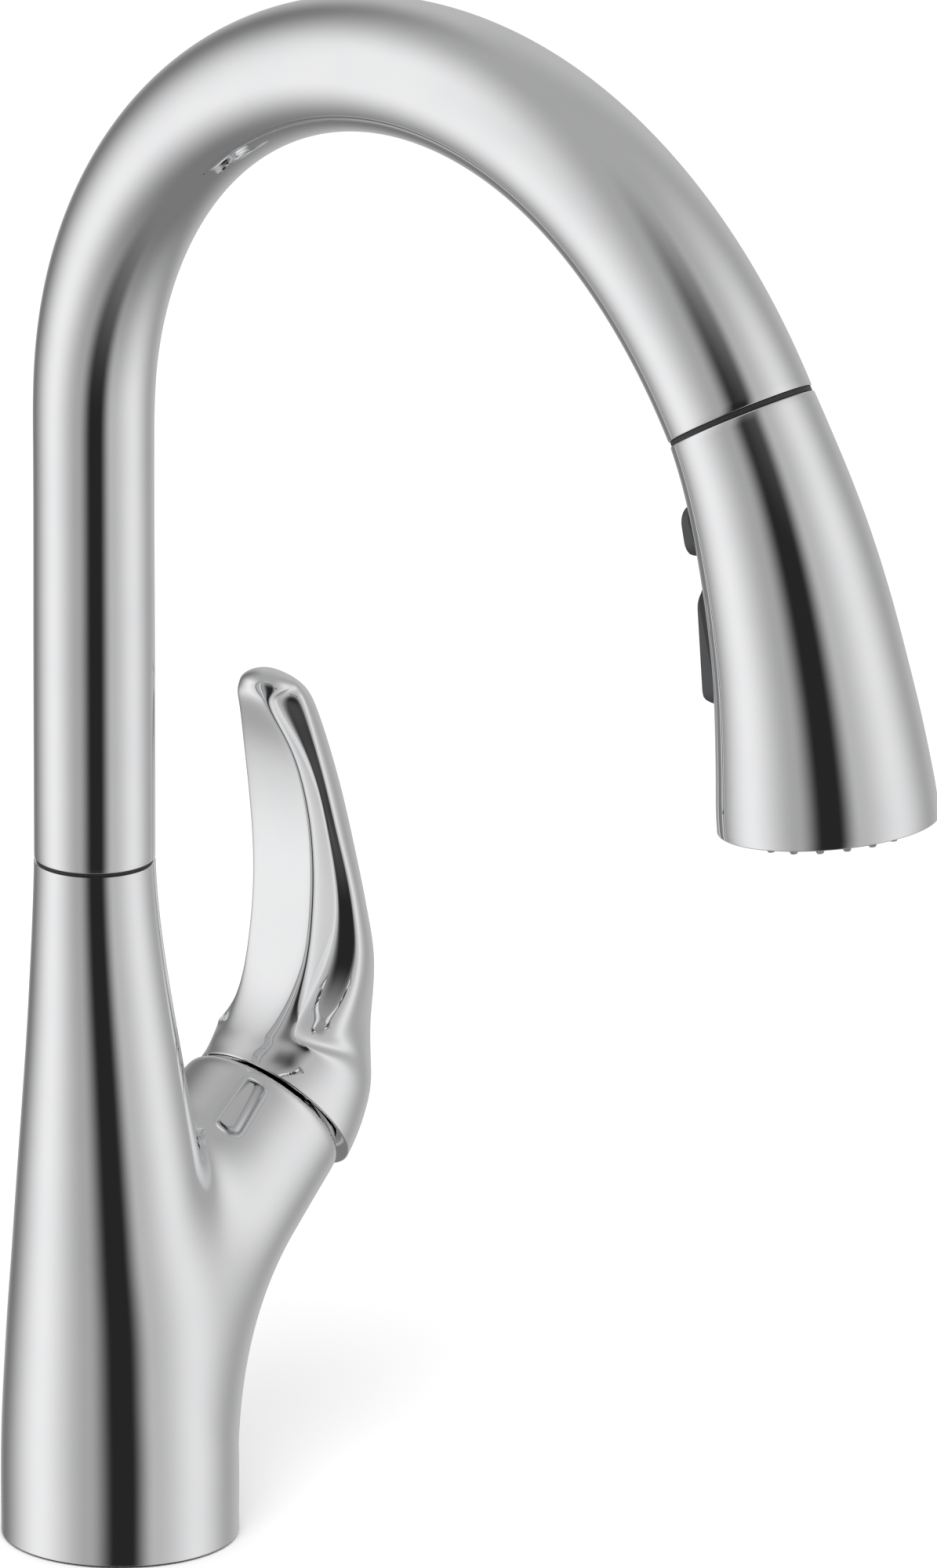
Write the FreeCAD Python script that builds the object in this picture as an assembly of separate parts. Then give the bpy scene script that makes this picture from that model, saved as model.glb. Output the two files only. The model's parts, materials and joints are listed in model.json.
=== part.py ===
"""Single-handle pull down kitchen faucet, one solid or set of solids per sub-part.

Frame: +Z up, origin at the centre of the foot on the deck, spout towards -Y, handle towards +X.
All sizes are millimetres.
"""
import FreeCAD
import Part
import math
import os

V = FreeCAD.Vector

# ---- driving dimensions -------------------------------------------------------------------
FOOT_R = 29.4            # foot of the valve body
FOOT_Z = 0.5             # the metal stands this far off the deck, on its gasket
SEAM_Z = 176.7           # top of the valve body
SWIVEL_GAP = 0.9         # height of the black ring under the spout tube
SPOUT_X = -8.62          # vertical axis of the spout tube
TUBE_R = 14.95           # spout tube at its foot
TUBE_WALL = 1.5
SPOUT_LEN = 413.9        # centre line from the seam to the docking end
RING_LEN = 1.3           # dark ring between spout and spray head
HEAD_END = 516.8         # centre line from the seam to the spray head's rim
HEAD_WALL = 1.7
STRAIGHT_LEN = 105.7     # straight riser before the arch
ARCH_EASE = 20.0         # length over which the arch's curvature builds up
ARCH_CURVE = 0.00925     # curvature of the arch, per mm
ARCH_HOLD = 324.9        # the curvature stays until here, then eases off
END_CURVE = 0.0022       # curvature left at the spray head's rim
BRANCH_TILT = 39.0       # side branch above horizontal, degrees
BRANCH_RIM = V(53.7, 0, 97.2)
BRANCH_R = 21.85         # branch just under its rounded lip
RIM_R = 20.1
LIP = 2.6
BORE_R = 17.2            # cartridge bore
BORE_DEPTH = 42.0
PORT_RING = 8.5          # the three water ports lie on this radius under the cartridge
PORT_R = 2.6
PORT_ANGLES = (90, 210, 330)
PIVOT_Q = -20.0          # lever pivot, along the branch axis from the rim
DOME_R = 27.3            # bonnet dome about the pivot
CAVITY_R = 28.8          # hollow under the handle about the pivot
PIN_R = 1.6
RUNNING = 0.06           # radial clearance of a running fit
HOSE_R = 6.4
HOSE_WALL = 2.2
HOSE_END_S = 404.0
DECK = 30.0              # thickest deck that the shank is drawn for
SHANK_R = 16.9
SHANK_BORE_R = 15.3
SHANK_END = -62.0
TUBE_END = -96.0

# Column of the valve body: height, axis X, radius.
COLUMN = [(FOOT_Z, 0, FOOT_R), (22, 0, FOOT_R), (63.4, -1.35, 26.35), (96.2, -3.6, 22.7),
          (129.4, -5.96, 18.85), (154, -7.7, 16.35), (SEAM_Z, SPOUT_X, 15.0)]
# Side branch: fraction of its spine, radius.
BRANCH = [(0, FOOT_R), (0.25, 28.4), (0.5, 25.85), (0.75, 23.5), (1, BRANCH_R)]
BRANCH_START = 10.0      # the spine is vertical up to here, then an arc, then straight

# Spout tube radius along the centre line, and spray head radius beyond the docking end.
SPOUT_R = [(0, TUBE_R), (120, 14.98), (150, 15.42), (190, 15.85), (230, 16.3), (270, 16.8),
           (310, 17.45), (350, 18.05), (385, 18.5), (SPOUT_LEN, 18.7)]
HEAD_R = [(0, 18.7), (10, 19.2), (20, 20.0), (30, 20.9), (43, 22.1), (54, 22.9), (65, 23.8),
          (78, 25.1), (90, 26.3), (98, 26.9), (103, 27.1)]

# Buttons on the head's inner side: distance of the middle below the docking end, width, height,
# corner radius, height of the sloping face over the shell at its upper and lower end, chamfer.
BUTTONS = {
    "spray": (56.5, 17.0, 30.0, 5.0, 1.0, 4.1, 2.6),
    "pause": (24.5, 14.6, 13.0, 4.5, 2.4, 4.0, 1.2),
}

# Handle stations from skirt to tip: inner face X, Z; outer face X, Z; half widths at the inner
# lip and at the flared rim; depths of the crease and of the rim as shares; roundness of the
# inner and outer faces, and of the recessed flank. The mirrored last row closes the tip.
HANDLE = [
    (38.0, 110.0, 66.5, 74.5, 21.5, 21.5, 0.10, 0.40, 1.0, 1.0),
    (40.6, 112.3, 71.0, 79.0, 21.2, 21.6, 0.10, 0.40, 1.0, 1.0),
    (42.0, 113.6, 75.4, 84.2, 20.0, 21.4, 0.10, 0.40, 1.0, 1.0),
    (43.0, 114.6, 79.8, 91.0, 18.5, 20.8, 0.10, 0.40, 1.0, 1.0),
    (44.0, 115.6, 83.2, 99.0, 17.0, 20.2, 0.10, 0.40, 0.95, 1.0),
    (45.0, 116.6, 85.0, 107.0, 15.0, 19.5, 0.08, 0.32, 0.9, 0.75),
    (46.2, 117.8, 85.8, 113.2, 12.6, 18.6, 0.06, 0.32, 0.8, 0.2),
    (48.0, 119.6, 86.0, 117.6, 10.9, 18.2, 0.07, 0.32, 0.6, 0.0),
    (51.0, 123.2, 86.0, 121.8, 10.1, 17.4, 0.12, 0.36, 0.4, 0.0),
    (54.9, 129.2, 85.8, 127.4, 10.0, 16.3, 0.20, 0.43, 0.2, 0.0),
    (58.0, 137.2, 85.2, 133.8, 10.2, 14.9, 0.29, 0.48, 0.0, 0.0),
    (59.5, 146.8, 84.0, 141.4, 10.2, 13.4, 0.37, 0.50, 0.0, 0.0),
    (60.1, 158.0, 82.0, 150.8, 10.2, 12.6, 0.35, 0.47, 0.0, 0.0),
    (59.2, 170.0, 79.4, 162.0, 10.2, 12.0, 0.29, 0.38, 0.0, 0.0),
    (57.1, 181.5, 76.3, 174.4, 9.6, 11.2, 0.28, 0.37, 0.0, 0.0),
    (54.4, 191.3, 72.4, 186.2, 8.4, 10.6, 0.24, 0.37, 0.0, 0.0),
    (50.9, 198.8, 68.9, 196.0, 6.2, 10.0, 0.20, 0.44, 0.1, 0.0),
    (48.7, 203.4, 66.2, 202.2, 5.1, 9.7, 0.19, 0.48, 0.2, 0.0),
    (48.0, 205.6, 64.2, 205.2, 5.3, 9.2, 0.20, 0.52, 0.4, 0.0),
    (47.9, 207.2, 62.4, 207.2, 7.2, 7.8, 0.30, 0.60, 1.0, 1.0),
    (48.2, 209.6, 58.6, 209.6, 5.6, 5.6, 0.30, 0.60, 1.0, 1.0),
    (52.9, 211.7, 53.9, 211.7, 0.5, 0.5, 0.30, 0.60, 1.0, 1.0),
    (58.6, 209.6, 48.2, 209.6, -5.6, -5.6, 0.30, 0.60, 1.0, 1.0),
]
SKIRT_GAP_TOP = 0.6      # seam between rim and handle at its upper edge
SKIRT_GAP_LOW = 1.5      # and at its lower edge


# ---- shared geometry ----------------------------------------------------------------------
def spline(points, x):
    """Smooth value at x through (x, value) points: a clamped cubic of Catmull-Rom slopes."""
    xs = [p[0] for p in points]
    ys = [p[1] for p in points]
    last = len(xs) - 1
    slopes = []
    for i in range(last + 1):
        a = max(i - 1, 0)
        b = min(i + 1, last)
        slopes.append((ys[b] - ys[a]) / (xs[b] - xs[a]))
    i = 0
    while i < last - 1 and x > xs[i + 1]:
        i += 1
    h = xs[i + 1] - xs[i]
    t = (x - xs[i]) / h
    return ((2 * t**3 - 3 * t**2 + 1) * ys[i] + (t**3 - 2 * t**2 + t) * h * slopes[i]
            + (3 * t**2 - 2 * t**3) * ys[i + 1] + (t**3 - t**2) * h * slopes[i + 1])


def curvature(s):
    """Curvature of the spout's centre line at length s above the seam."""
    if s < STRAIGHT_LEN:
        return 0.0
    if s < STRAIGHT_LEN + ARCH_EASE:
        return ARCH_CURVE * (s - STRAIGHT_LEN) / ARCH_EASE
    if s < ARCH_HOLD:
        return ARCH_CURVE
    return ARCH_CURVE + (END_CURVE - ARCH_CURVE) * (s - ARCH_HOLD) / (HEAD_END - ARCH_HOLD)


def centre_line(step=0.25):
    """(s, reach, height, heading) along the spout, reach measured towards -Y."""
    line = [(0.0, 0.0, SEAM_Z + SWIVEL_GAP, math.pi / 2)]
    for i in range(int((HEAD_END + 8) / step)):
        s, d, z, heading = line[-1]
        ahead = heading - step * curvature(s + step / 2)
        middle = (heading + ahead) / 2
        line.append((s + step, d + step * math.cos(middle), z + step * math.sin(middle), ahead))
    return line, step


LINE, LINE_STEP = centre_line()


def station(s):
    """Point, direction and heading of the spout's centre line at length s."""
    i = min(max(int(s / LINE_STEP), 0), len(LINE) - 2)
    t = s / LINE_STEP - i
    a = LINE[i]
    b = LINE[i + 1]
    d = a[1] + t * (b[1] - a[1])
    z = a[2] + t * (b[2] - a[2])
    heading = a[3] + t * (b[3] - a[3])
    return V(SPOUT_X, -d, z), V(0, -math.cos(heading), math.sin(heading))


def frame_on(point, direction):
    """Placement at a point, with local Z along the direction."""
    return FreeCAD.Placement(point, FreeCAD.Rotation(V(0, 0, 1), direction))


BRANCH_DIR = V(math.cos(math.radians(BRANCH_TILT)), 0, math.sin(math.radians(BRANCH_TILT)))
BRANCH_FRAME = FreeCAD.Placement(BRANCH_RIM, FreeCAD.Rotation(V(0, 1, 0), 90 - BRANCH_TILT))
SEAM_FRAME = FreeCAD.Placement(V(SPOUT_X, 0, 0), FreeCAD.Rotation())
DOCK_FRAME = frame_on(*station(SPOUT_LEN))
RIM_FRAME = frame_on(*station(HEAD_END))


def placed(shape, frame):
    moved = shape.copy()
    moved.Placement = frame.multiply(moved.Placement)
    return moved


def turned(outline, frame=FreeCAD.Placement()):
    """Solid of revolution about local Z from a closed outline of (radius, z) points."""
    points = [V(r, 0, z) for r, z in outline]
    wire = Part.makePolygon(points + [points[0]])
    return placed(Part.Face(wire).revolve(V(0, 0, 0), V(0, 0, 1), 360), frame)


def ring(inner, outer, low, high, frame=FreeCAD.Placement()):
    if inner <= 0:
        solid = Part.makeCylinder(outer, high - low, V(0, 0, low))
        return placed(solid, frame)
    return turned([(inner, low), (outer, low), (outer, high), (inner, high)], frame)


def block(size_x, size_y, low, high, frame=FreeCAD.Placement(), at=(0, 0)):
    corner = V(at[0] - size_x / 2, at[1] - size_y / 2, low)
    return placed(Part.makeBox(size_x, size_y, high - low, corner), frame)


def around(radius, angle, z):
    """Point at a radius, an angle in degrees and a height about local Z."""
    return V(radius * math.cos(math.radians(angle)), radius * math.sin(math.radians(angle)), z)


def rod(radius, low, high, x=0.0, y=0.0, frame=FreeCAD.Placement()):
    return placed(Part.makeCylinder(radius, high - low, V(x, y, low)), frame)


def o_ring(ring_r, cord_r, z, frame=FreeCAD.Placement()):
    return placed(Part.makeTorus(ring_r, cord_r, V(0, 0, z)), frame)


def loft(circles):
    """Closed solid through (centre, direction, radius) circles."""
    wires = [Part.Wire(Part.makeCircle(r, c, d)) for c, d, r in circles]
    return Part.makeLoft(wires, True, False)


def cut(shape, *tools):
    for tool in tools:
        shape = shape.cut(tool)
    return shape


def save(name, *solids):
    shape = solids[0] if len(solids) == 1 else Part.makeCompound(list(solids))
    found = shape.Solids
    shape = found[0] if len(found) == 1 else Part.makeCompound(found)
    if not found or not all(s.isValid() and s.isClosed() for s in found):
        print("check", name, "solids", len(found))
    shape.exportStep("parts/" + name + ".step")


# ---- valve body and what it holds ---------------------------------------------------------
def column_solid(inset=0.0, low=FOOT_Z, high=SEAM_Z, count=10):
    axis_law = [(z, x) for z, x, _ in COLUMN]
    radius_law = [(z, r) for z, _, r in COLUMN]
    circles = []
    for i in range(count):
        z = low + (high - low) * i / (count - 1)
        circles.append((V(spline(axis_law, z), 0, z), V(0, 0, 1), spline(radius_law, z) - inset))
    return loft(circles)


def branch_spine():
    """Arc radius and straight length that join the foot's vertical to the branch axis."""
    tilt = math.radians(BRANCH_TILT)
    rise = BRANCH_RIM.z - BRANCH_START
    straight = (BRANCH_RIM.x * math.cos(tilt) - rise * (1 - math.sin(tilt))) / (
        math.cos(tilt) ** 2 - math.sin(tilt) * (1 - math.sin(tilt)))
    arc = (rise - straight * math.sin(tilt)) / math.cos(tilt)
    return arc, straight


def branch_point(length, arc, straight):
    """Point and direction of the branch's spine at a length above the deck."""
    if length < BRANCH_START:
        return V(0, 0, length), V(0, 0, 1)
    angle = (length - BRANCH_START) / arc
    full = math.radians(90 - BRANCH_TILT)
    if angle < full:
        point = V(arc * (1 - math.cos(angle)), 0, BRANCH_START + arc * math.sin(angle))
        return point, V(math.sin(angle), 0, math.cos(angle))
    beyond = length - BRANCH_START - arc * full
    return BRANCH_RIM - BRANCH_DIR * (straight - beyond), BRANCH_DIR


def branch_solid(count=10):
    arc, straight = branch_spine()
    total = BRANCH_START + arc * math.radians(90 - BRANCH_TILT) + straight
    circles = []
    for i in range(count):
        length = FOOT_Z + (total - LIP - FOOT_Z) * i / (count - 1)
        point, direction = branch_point(length, arc, straight)
        circles.append((point, direction, spline(BRANCH, length / total)))
    lip = turned([(0, -LIP), (spline(BRANCH, 1 - LIP / total), -LIP), (21.55, -1.3),
                  (20.95, -0.45), (RIM_R, 0), (0, 0)], BRANCH_FRAME)
    return loft(circles).fuse(lip)


def make_valve_body():
    outer = column_solid().fuse(branch_solid())
    cartridge_bore = ring(0, BORE_R, -BORE_DEPTH, 5, BRANCH_FRAME)
    dome_seat = ring(0, 18.9, -2.8, 5, BRANCH_FRAME)
    hose_bore = ring(0, 10.5, -1, SEAM_Z + 1, SEAM_FRAME)
    hub_bore = ring(0, 12.5, 126, SEAM_Z + 1, SEAM_FRAME)
    shank_bore = ring(0, SHANK_R + 0.05, -1, 44)
    gasket_seat = ring(20, 28.4, -1, 2.6)
    ports = [placed(Part.makeCylinder(PORT_R, 30, around(PORT_RING, a, -BORE_DEPTH - 29)),
                    BRANCH_FRAME) for a in PORT_ANGLES]
    body = cut(outer, cartridge_bore, dome_seat, hose_bore, hub_bore, shank_bore, gasket_seat,
               *ports)
    save("valve_body", body)


def make_body_fittings():
    save("base_gasket", ring(20.1, 28.3, 0, 2.5))
    save("swivel_ring", ring(12.6, 14.3, SEAM_Z, SEAM_Z + SWIVEL_GAP - 0.05, SEAM_FRAME))
    hub = ring(9.6, 12.45, 126.1, 208, SEAM_FRAME)
    grooves = [ring(10.6, 13, z - 1, z + 1, SEAM_FRAME) for z in (150, 186, 198)]
    clip_groove = ring(11.4, 13, 206.2, 207.3, SEAM_FRAME)
    save("spout_hub", cut(hub, clip_groove, *grooves))
    save("hub_o_rings", *[o_ring(11.55, 0.88, z, SEAM_FRAME) for z in (150, 186, 198)])


def make_cartridge():
    frame = BRANCH_FRAME
    seal_r = 4.0
    seats = [placed(Part.makeCylinder(seal_r + 0.05, 12, around(PORT_RING, a, -43)), frame)
             for a in PORT_ANGLES]
    seals = []
    for angle in PORT_ANGLES:
        tube = Part.makeCylinder(seal_r, 7.8, around(PORT_RING, angle, -41.9)).cut(
            Part.makeCylinder(PORT_R, 9, around(PORT_RING, angle, -42.4)))
        seals.append(placed(tube, frame))
    save("port_seals", *seals)
    housing = turned([(0, -41.9), (17.1, -41.9), (17.1, -12.0), (11, -12.0), (11, -13.6),
                      (14.6, -13.6), (14.6, -34), (0, -34)], frame)
    groove = ring(15.3, 18, -38.9, -36.9, frame)
    save("cartridge_housing", cut(housing, groove, *seats))
    save("cartridge_o_ring", o_ring(16.22, 0.9, -37.9, frame))
    disc = ring(0, 14.4, -33.95, -30.5, frame)
    disc_ports = [placed(Part.makeCylinder(PORT_R, 6, around(PORT_RING, a, -35)), frame)
                  for a in PORT_ANGLES]
    save("fixed_ceramic_disc", cut(disc, *disc_ports))
    moving = ring(0, 12.4, -30.45, -26.6, frame).cut(block(17, 9.4, -29.2, -26, frame))
    save("moving_ceramic_disc", moving)
    carrier = ring(0, 14.25, -26.5, -14, frame)
    slot = block(21, 9.6, -27, -13, frame, (2, 0))
    pin_hole = placed(Part.makeCylinder(PIN_R + 0.01, 26, V(0, -13, PIVOT_Q), V(0, 1, 0)), frame)
    save("cartridge_carrier", cut(carrier, slot, pin_hole))
    save("stem_pin", placed(Part.makeCylinder(PIN_R, 25.6, V(0, -12.8, PIVOT_Q), V(0, 1, 0)), frame))
    nut = ring(14.2, 17.15, -11.9, -3, frame)
    spanner_slot = block(40, 3, -5, -2.8, frame)
    save("bonnet_nut", nut.cut(spanner_slot))
    save("bonnet_dome", dome_solid(frame))


def dome_solid(frame):
    """Spherical cover about the lever's pivot, slotted for the stem."""
    wall = 1.4
    skirt_r = 18.6
    pivot = V(0, 0, PIVOT_Q)
    shell = Part.makeSphere(DOME_R, pivot).cut(Part.makeSphere(DOME_R - wall, pivot))
    cap = shell.common(ring(0, skirt_r, 0, 12))
    cap_base = ring(skirt_r - wall, skirt_r, -2.5, 0.05)
    slot = block(26, 10.6, -3, 12, FreeCAD.Placement(), (6.8, 0))
    return placed(cap.fuse(cap_base).cut(slot.common(ring(0, 17.0, -3, 12))), frame)


# ---- lever --------------------------------------------------------------------------------
def handle_controls(row):
    """Half of a section's control polygon, from the inner face round to the outer face."""
    inner_x, inner_z, outer_x, outer_z, lip, rim, crease, flare, face, flank = row
    steps = 12
    overshoot = 1.0115
    span = flare - crease
    step = rim - lip
    blade = [
        (0, 0), (0, 0.5 * lip), (0, 0.93 * lip), (0.02, 1.02 * lip), (0.5 * crease, 1.02 * lip),
        (crease - 0.02, lip), (crease + 0.02, lip), (crease + 0.5 * span, lip + 0.34 * step),
        (flare, lip + 0.97 * step), (flare + 0.05, 1.03 * rim),
        (flare + 0.4 * (1 - flare), 0.97 * rim), (1, 0.6 * rim), (1, 0),
    ]
    edge = (face + flank) / 2
    roundness = [face] * 4 + [edge] + [flank] * 4 + [edge] + [face] * 3
    points = []
    for k in range(steps + 1):
        angle = math.pi * k / steps
        round_deep = 0.5 - 0.5 * overshoot * math.cos(angle)
        round_wide = overshoot * (lip + step * k / steps) * math.sin(angle)
        mix = roundness[k]
        deep = mix * round_deep + (1 - mix) * blade[k][0]
        wide = mix * round_wide + (1 - mix) * blade[k][1]
        points.append((inner_x + deep * (outer_x - inner_x), wide,
                       inner_z + deep * (outer_z - inner_z)))
    return points


def handle_cage():
    rows = []
    for row in HANDLE:
        half = handle_controls(row)
        near = [V(x, -y, z) for x, y, z in half]
        far = [V(x, y, z) for x, y, z in half[-2:0:-1]]
        rows.append(near + far)
    return rows


def handle_blank():
    """Closed solid of the handle: one smooth surface over the cage, capped flat at both ends."""
    cage = handle_cage()
    rows = len(cage)
    around = len(cage[0])
    surface = Part.BSplineSurface()
    surface.buildFromPolesMultsKnots(
        cage, [1] * (rows + 4), [1] * (around + 1), [float(i) for i in range(rows + 4)],
        [float(i) for i in range(around + 1)], False, True, 3, 3)
    faces = [surface.toShape(3.0, float(rows), 0.0, float(around))]
    for end in (3.0, float(rows)):
        faces.append(Part.Face(Part.Wire(surface.uIso(end).toShape())))
    shell = Part.makeShell(faces)
    shell.sewShape()
    return Part.Solid(shell)


def make_lever():
    frame = BRANCH_FRAME
    stem = block(7.8, 9.2, -27.9, -12, frame).fuse(block(7.8, 7.8, -12, 21, frame))
    pin_hole = placed(Part.makeCylinder(PIN_R + RUNNING, 20, V(0, -10, PIVOT_Q), V(0, 1, 0)), frame)
    save("cartridge_stem", stem.cut(pin_hole))
    low_tilt = math.degrees(math.atan((SKIRT_GAP_LOW - SKIRT_GAP_TOP) / (2 * RIM_R)))
    middle = (SKIRT_GAP_TOP + SKIRT_GAP_LOW) / 2
    under = Part.makeBox(200, 200, 80, V(-100, -100, -80))
    under.rotate(V(0, 0, 0), V(0, 1, 0), -low_tilt)
    under.translate(V(0, 0, middle))
    cavity = Part.makeSphere(CAVITY_R, V(0, 0, PIVOT_Q))
    stem_hole = block(7.9, 7.9, 0, 21.1)
    screw_bore = Part.makeCylinder(2.55, 60, V(3.5, 0, 15), V(1, 0, 0))
    plug_zone = Part.makeCylinder(3.3, 60, V(14, 0, 15), V(1, 0, 0))
    blank = handle_blank()
    handle = cut(blank, *[placed(t, frame) for t in (under, cavity, stem_hole, screw_bore, plug_zone)])
    save("lever_handle", handle)
    screw = Part.makeCylinder(2.5, 9, V(4.0, 0, 15), V(1, 0, 0))
    hex_socket = Part.makeCylinder(1.3, 4, V(9.5, 0, 15), V(1, 0, 0))
    save("handle_screw", placed(screw.cut(hex_socket), frame))
    plug = placed(Part.makeCylinder(3.25, 60, V(14.1, 0, 15), V(1, 0, 0)), frame).common(blank)
    save("screw_plug", plug)


# ---- spout --------------------------------------------------------------------------------
def tube_circles(low, high, inset, law, origin=0.0, count=47):
    circles = []
    for i in range(count):
        s = low + (high - low) * i / (count - 1)
        point, direction = station(s)
        circles.append((point, direction, spline(law, s - origin) - inset))
    return circles


def hose_solid(radius, low_z, end_s):
    """Round rod up the riser and along the arch, as a straight run and two tangent arcs."""
    start = V(SPOUT_X, 0, low_z)
    rise = V(SPOUT_X, 0, SEAM_Z + SWIVEL_GAP + STRAIGHT_LEN + ARCH_EASE / 2)
    shift_s = STRAIGHT_LEN + ARCH_EASE / 2
    edges = [Part.LineSegment(start, rise).toShape()]
    point = rise
    heading = math.pi / 2
    for length, curve in ((ARCH_HOLD - shift_s, ARCH_CURVE),
                          (end_s - ARCH_HOLD, (curvature(ARCH_HOLD) + curvature(end_s)) / 2)):
        stops = []
        for part in (0.5, 1.0):
            turn = length * part * curve
            chord = 2 / curve * math.sin(turn / 2)
            aim = heading - turn / 2
            stops.append(point + V(0, -math.cos(aim), math.sin(aim)) * chord)
        edges.append(Part.Arc(point, stops[0], stops[1]).toShape())
        point = stops[1]
        heading -= length * curve
    path = Part.Wire(edges)
    profile = Part.Wire(Part.makeCircle(radius, start, V(0, 0, 1)))
    return path.makePipeShell([profile], True, False)


def make_spout():
    outer = loft(tube_circles(0, SPOUT_LEN, 0, SPOUT_R))
    inner = loft(tube_circles(0, SPOUT_LEN, TUBE_WALL, SPOUT_R))
    opening = ring(0, TUBE_R - TUBE_WALL, -2, 1,
                   FreeCAD.Placement(V(SPOUT_X, 0, SEAM_Z + SWIVEL_GAP), FreeCAD.Rotation()))
    mouth = ring(0, 17.2, -1, 2, DOCK_FRAME)
    save("spout_tube", cut(outer, inner, opening, mouth))
    low = SEAM_Z + SWIVEL_GAP
    save("spout_bearing", ring(12.45 + RUNNING, 13.3, low + 0.3, 205.8, SEAM_FRAME))
    save("hub_clip", ring(12.5 + RUNNING, 13.3, 206.4, 207.2, SEAM_FRAME))
    save("docking_insert", turned([(8.2, -20), (15.5, -20), (16.7, -1.0), (16.7, 0), (11.2, 0),
                                   (8.2, -6)], DOCK_FRAME).cut(
        ring(11.9, 15.1, -9, -2, DOCK_FRAME)))
    save("docking_magnet", ring(12, 15, -8.9, -2.1, DOCK_FRAME))
    hose = hose_solid(HOSE_R, SHANK_END - 4, HOSE_END_S)
    save("pull_hose", hose.cut(hose_solid(HOSE_R - HOSE_WALL, SHANK_END - 4, HOSE_END_S)))
    coupling = turned([(2.4, 0), (HOSE_R + 1.2, 0), (HOSE_R + 1.2, -9), (5.2, -9), (5.2, -24),
                       (2.4, -24)], FreeCAD.Placement(V(SPOUT_X, 0, SHANK_END - 4),
                                                      FreeCAD.Rotation()))
    save("hose_coupling", coupling)


# ---- spray head ---------------------------------------------------------------------------
def head_circles(low, high, inset, count=9):
    return tube_circles(SPOUT_LEN + low, SPOUT_LEN + high, inset, HEAD_R, SPOUT_LEN, count)


def button_frame(along):
    """Frame on the head's inner side: local Z points out of the shell, local X along world X."""
    point, direction = station(SPOUT_LEN + along)
    outward = direction.cross(V(1, 0, 0))
    if outward.y < 0:
        outward = outward * -1
    rotation = FreeCAD.Rotation(V(1, 0, 0), outward.cross(V(1, 0, 0)), outward, "ZXY")
    return FreeCAD.Placement(point + outward * spline(HEAD_R, along), rotation)


def rounded_block(width, height, corner, low, high):
    """Block of rounded rectangle outline, centred on the local axis."""
    half_w = width / 2 - corner
    half_h = height / 2 - corner
    tall = Part.makeBox(width, 2 * half_h, high - low, V(-width / 2, -half_h, low))
    wide = Part.makeBox(2 * half_w, height, high - low, V(-half_w, -height / 2, low))
    solid = tall.fuse(wide)
    for x in (-half_w, half_w):
        for y in (-half_h, half_h):
            solid = solid.fuse(Part.makeCylinder(corner, high - low, V(x, y, low)))
    return solid.removeSplitter()


def make_head():
    shell_start = RING_LEN + 0.3
    full = HEAD_END - SPOUT_LEN
    save("head_collar_ring", ring(15.2, 18.25, 0.1, RING_LEN, DOCK_FRAME))
    outer = loft(head_circles(shell_start, full, 0))
    inner = loft(head_circles(shell_start, full, HEAD_WALL))
    windows = []
    for along, width, height, corner, *_ in BUTTONS.values():
        window = rounded_block(width + 3, height + 3, corner + 1.5, -8, 8)
        windows.append(placed(window, button_frame(along)))
    save("head_shell", cut(outer, inner, *windows))
    save("docking_plate", ring(7.6, 14.9, 0.1, 1.3, DOCK_FRAME))
    core = loft(head_circles(9, 88, 9.0))
    bore = loft(head_circles(8, 89, 15.0))
    socket = ring(0, 8.9, 0, 16.6, DOCK_FRAME)
    skirt = ring(9.0, 16.8, 1.5, 9.4, DOCK_FRAME)
    pockets = []
    for along, width, height, corner, *_ in BUTTONS.values():
        pockets.append(placed(rounded_block(width + 3, height + 3, corner, -14, 4),
                              button_frame(along)))
    spool_bore = placed(Part.makeCylinder(3.2, 22, V(0, 0, -28)), button_frame(BUTTONS["spray"][0]))
    valve_bore = placed(Part.makeCylinder(2.4, 12, V(0, 0, -21.4)),
                        button_frame(BUTTONS["pause"][0]))
    waterway = cut(core.fuse(skirt), bore, socket, spool_bore, valve_bore, *pockets)
    save("waterway_core", waterway)
    valve_frame = frame_on(*station(SPOUT_LEN + 19.6))
    body = ring(0, 4.5, -2.4, 2.4, valve_frame)
    ports = [placed(Part.makeCylinder(0.9, 9, V(2.6 * math.cos(math.radians(60 * k)),
                                                2.6 * math.sin(math.radians(60 * k)), -4.5)),
                    valve_frame) for k in range(6)]
    save("check_valve", cut(body, *ports))


def coil_spring(coil_r, wire_r, turns, low, high):
    """Round-wire compression spring about local Z."""
    pitch = (high - low) / turns
    helix = Part.makeHelix(pitch, high - low, coil_r)
    profile = Part.Wire(Part.makeCircle(wire_r, V(coil_r, 0, 0), V(0, 1, 0)))
    coil = Part.Wire(helix).makePipeShell([profile], True, True)
    coil.translate(V(0, 0, low))
    return coil


def button_cap(width, height, corner, upper, lower, chamfer):
    """Button whose flat face slopes from its upper to its lower end, with a chamfered lip."""
    end = height / 2
    side = [(-end, -5), (end, -5), (end, lower - chamfer), (end - chamfer, lower),
            (1.0 - end, upper), (-end, upper - 0.8)]
    points = [V(-width / 2, y, z) for y, z in side]
    prism = Part.Face(Part.makePolygon(points + [points[0]])).extrude(V(width, 0, 0))
    return prism.common(rounded_block(width, height, corner, -6, lower + 1))


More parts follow.
